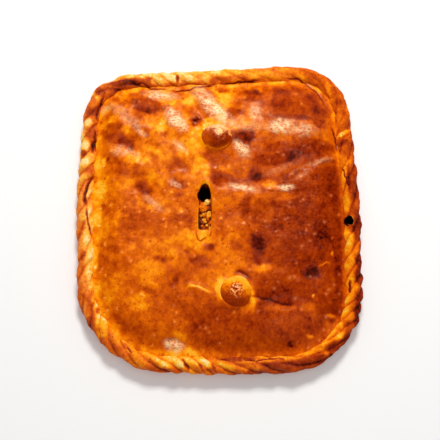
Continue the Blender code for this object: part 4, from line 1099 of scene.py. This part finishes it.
lid_places = places_of(lid)
x, y, z = lid_places.T
flat = level_places(x, y)
_, plain_height, inward = shoulder_of(x, y)
shake_x = 1.8 * unevenness(flat, 9.0, 93) + 1.4 * unevenness(flat, 3.5, 94)
shake_y = 1.8 * unevenness(flat, 9.0, 95) + 1.4 * unevenness(flat, 3.5, 96)
shaken_x, shaken_y = x + shake_x, y + shake_y
bake_light_and_shade = toned(np.full(x.shape, 0.42), shaken_x, shaken_y, LID_TONES)
pale_bearings, pale_amounts, pale_widths = np.array(SEAM_PALE).T
bearing = np.degrees(np.arctan2(y, x))
pale_width = np.interp(bearing, pale_bearings, pale_widths)
pale = np.interp(bearing, pale_bearings, pale_amounts)
pale *= np.exp(-((np.clip(inward, 0.0, None) / pale_width) ** 2))
blotches = 1.0 + 1.3 * unevenness(flat, 9.0, 97)
bake_light_and_shade = bake_light_and_shade + (0.17 - bake_light_and_shade) * np.clip(pale * blotches, 0.0, 1.0)
palest = np.minimum(bake_light_and_shade, 0.11)
lively = 0.75 + 0.75 * np.clip(0.3 + (y - x) / 220.0, 0.0, 1.0)  # blotchier to the far left
bake_light_and_shade += (0.13 * unevenness(flat, 15.0, 90) + 0.13 * unevenness(flat, 6.0, 91)) * lively
bake_light_and_shade += 0.11 * unevenness(flat, 2.6, 92)
bake_light_and_shade = np.clip(bake_light_and_shade, palest, 0.94)
# Painted glare: pale reflections of the window painted where the lid's slopes face it, with the tone
# under them drawn towards orange.
glare_places = PAINTED_GLARE_PLACES + tuple((*slope[:5], slope[6]) for slope in SLOPES if slope[6] > 0)
painted_glare = toned(0.0 * x, shaken_x, shaken_y, glare_places)
bake_light_and_shade += (0.30 - bake_light_and_shade) * 0.30 * np.clip(painted_glare, 0.0, 1.0)
patchy = 0.80 + 0.9 * unevenness(flat, 5.0, 98) + 0.5 * unevenness(flat, 2.4, 99)
painted_glare *= np.clip(patchy, 0.0, 1.0)
dull = toned(0.0 * x, shaken_x, shaken_y, DULL_SKIN) * (1.0 - np.clip(painted_glare, 0.0, 1.0))
beyond = beyond_vent(x, y)
bake_light_and_shade -= 0.10 * np.exp(-((beyond / 1.6) ** 2))
cut_face = (z < plain_height - 2.4) & (inward > 0.5) & (np.abs(beyond) < 3.0)
bake_light_and_shade[cut_face] = 0.22
for near, share, size, rise in blisters_and_pits(x, y):
    if rise < 0:
        bake_light_and_shade[near] += 0.6 * share * np.clip(0.84 - bake_light_and_shade[near], 0.0, 1.0)
    # The tops of small blisters get painted highlights: a paler tone and painted glare.
    elif size < 1.6:
        bake_light_and_shade[near] -= 0.20 * share
        painted_glare[near] = np.maximum(painted_glare[near], 0.4 * rise * share)
# Painted shade in the cracks.
_, crack_shade = crack_depth(x, y)
bake_light_and_shade = np.maximum(bake_light_and_shade, crack_shade * 0.93)
# Pale creases; the first is a painted highlight.
for width, tone, line in PALE_LINES:
    distance, share = from_line(x + 0.3 * shake_x, y + 0.3 * shake_y, line)
    bake_light_and_shade += (tone - bake_light_and_shade) * np.exp(-((distance / width) ** 2)) * tapered(share, 5.0)
# Painted shade along the splits.
for width, _, tone, line in SPLITS:
    distance, share = from_line(x + 0.4 * shake_x, y + 0.4 * shake_y, line)
    near = np.exp(-((distance / (width + 0.3)) ** 2)) * tapered(share, 4.0)
    bake_light_and_shade += np.clip(tone - bake_light_and_shade, 0.0, None) * near
# Painted shade on the wall of the burst hole.
bake_light_and_shade = np.maximum(np.clip(bake_light_and_shade, 0.0, 1.0), hole_wall_shade(lid_places) * 1.05)
paint(lid, "bake_light_and_shade", bake_light_and_shade)
paint(lid, "painted_glare", np.clip(painted_glare, 0.0, 1.0))
paint(lid, "dull", dull)
smooth_shade(lid, 55)
lid_finish = baked_dough(
    "glazed_lid", mottle=3.4, pore=1.0, speckle=0.37, roughness=0.15, shine=0.19, bump=0.08
)
finish(lid, lid_finish, "lid")

# The two buttons: balls of dough pressed on the lid, which baked into low domes, painted yellow on
# the lit far side and brown on the shaded near side as painted light and shade; the far one was
# pinched, with a lobe on its left.
BUTTON_SUNK = 0.3  # how far a button sits in its seat


def dough_button(name, node, seat, height, girth_level, softness, shape, baked):
    """A ball whose widest part lies at girth_level, over the seat, and whose crown at height."""
    cx, cy, half_width, half_depth = seat
    bpy.ops.mesh.primitive_ico_sphere_add(subdivisions=6, radius=MM)
    button = name_new(name)
    ball = places_of(button)
    x, y, up = ball.T
    swelling = shape(x, y, up)
    domed = np.clip(up, 0.0, None) ** softness * (height - girth_level)
    level = np.where(up > 0, domed, np.maximum(up * girth_level * 2.2, -girth_level))
    places = np.column_stack([x * half_width * swelling, y * half_depth * swelling, level])
    lumpy = 0.7 * unevenness(places, 7.0, 100) + 0.3 * unevenness(places, 2.6, 101)
    lumpy += 0.12 * unevenness(places, 1.1, 102)
    places += ball * (lumpy * ramp(up, -0.6, 0.4))[:, None]
    bake_light_and_shade, painted_glare = baked(x, y, up, places)
    paint(button, "bake_light_and_shade", np.clip(bake_light_and_shade, 0.0, 1.0))
    paint(button, "painted_glare", np.clip(painted_glare, 0.0, 1.0))
    set_places(button, places + (cx, cy, seat_level(cx, cy) + girth_level - BUTTON_SUNK))
    smooth_shade(button, 180)
    finish(button, lid_finish, node)


def near_shape(x, y, up):
    return 1.0 - 0.04 * np.cos(3.0 * np.arctan2(y, x))


def near_baked(x, y, up, places):
    jag = 0.30 * unevenness(places, 5.0, 103) + 0.25 * unevenness(places, 1.8, 107)
    # Painted light and shade: yellow on the far, lit half and brown on the near, shaded half.
    shaded_half = 0.5 + 0.5 * np.tanh((0.04 - 0.25 * x - y + jag) * 3.0)
    tone = 0.10 + 0.62 * shaded_half
    # The crown's pale specks are painted glare.
    crown = np.exp(-(np.hypot((x - 0.04) / 0.38, (y - 0.14) / 0.46) ** 4))
    speckled = 0.54 + 1.0 * unevenness(places, 2.4, 104) + 0.9 * unevenness(places, 1.1, 109)
    tone += (np.clip(speckled, 0.04, 0.80) - tone) * crown
    rim = 0.36 - 0.26 * np.clip(0.5 + 2.0 * y - 0.6 * x, 0.0, 1.0)
    tone += (rim - tone) * ramp(up, 0.45, 0.0) * 0.7
    return tone, crown * np.clip(0.1 - 2.0 * (speckled - 0.40), 0.0, 0.5)


def far_shape(x, y, up):
    groove = np.exp(-(((x + 0.42 + 0.3 * y) / 0.14) ** 2)) * ramp(up, 0.0, 0.5)
    return 1.0 - 0.06 * groove * ramp(y, -0.25, 0.25)


def far_baked(x, y, up, places):
    jag = 0.35 * unevenness(places, 3.6, 105) + 0.25 * unevenness(places, 1.6, 108)
    notch = 0.45 * np.exp(-(((x - 0.12) / 0.22) ** 2))
    edge = 0.52 - 0.30 * (x + 0.35) - notch + jag
    # Painted light and shade: brown on the near, shaded front and pale on the lit top, which also
    # carries painted glare.
    shaded_front = 0.5 + 0.5 * np.tanh((edge - y) * 6.0)
    speckled = 0.10 + 0.5 * unevenness(places, 2.2, 106) + 0.6 * unevenness(places, 1.0, 110)
    speckled = np.clip(speckled, 0.0, 0.5)
    lobe = 0.5 - 0.5 * np.tanh((x + 0.36) * 5.0)
    tone = speckled + (0.76 - 0.20 * lobe - speckled) * shaded_front
    rim = np.exp(-(((up - 0.30) / 0.20) ** 2)) * np.clip(-2.0 * y - 0.3, 0.0, 1.0)
    painted_glare = (1.0 - shaded_front) * np.clip(0.9 - 0.8 * x, 0.2, 0.9) * (up > 0.25)
    return tone - 0.45 * rim * (x > -0.7), painted_glare


dough_button(
    "button_near_dome", "button_near", BUTTON_SEATS["near"], height=10.4, girth_level=1.2,
    softness=2.1, shape=near_shape, baked=near_baked,
)
dough_button(
    "button_far_dome", "button_far", BUTTON_SEATS["far"], height=11.2, girth_level=1.8,
    softness=1.6, shape=far_shape, baked=far_baked,
)

# The floor that the pie stands on, soft studio light and the camera: a large window beyond the
# far side, a little to the right, and an even fill.
def area_light(name, place, size, power, tint, glossy):
    bpy.ops.object.light_add(type="AREA", location=place)
    lamp = bpy.context.object
    lamp.name = name
    lamp.data.shape = "RECTANGLE"
    lamp.data.size, lamp.data.size_y = size
    lamp.data.energy = power
    lamp.data.color = tint
    lamp.visible_glossy = glossy
    aim = Vector((0.0, 0.0, 0.02)) - Vector(place)
    lamp.rotation_euler = aim.to_track_quat("-Z", "Y").to_euler()


bpy.ops.mesh.primitive_plane_add(size=6.0, location=(0.0, 0.0, -0.0002))
floor = name_new("floor")
paper = bpy.data.materials.new("white_paper")
paper.use_nodes = True
paper_shader = paper.node_tree.nodes["Principled BSDF"]
paper_shader.inputs["Base Color"].default_value = (0.97, 0.97, 0.97, 1.0)
paper_shader.inputs["Roughness"].default_value = 0.9
floor.data.materials.append(paper)
area_light("window", WINDOW_PLACE, (0.36, 0.31), 16.0, (1.0, 0.98, 0.95), True)
area_light("fill", (0.1, -0.5, 1.6), (1.6, 1.6), 6.8, (1.0, 0.98, 0.96), False)
world = bpy.data.worlds.new("studio")
world.use_nodes = True
background = world.node_tree.nodes["Background"]
background.inputs["Color"].default_value = (1.0, 1.0, 1.0, 1.0)
background.inputs["Strength"].default_value = 0.34
world.cycles_visibility.glossy = False
bpy.context.scene.world = world
bpy.context.scene.view_settings.view_transform = "Standard"
bpy.ops.object.camera_add(location=CAMERA_PLACE, rotation=(CAMERA_TILT, 0.0, 0.0))
camera = bpy.context.object
camera.data.sensor_width = 36.0
camera.data.lens = FOCAL_PIXELS / PIXELS * camera.data.sensor_width
bpy.context.scene.camera = camera
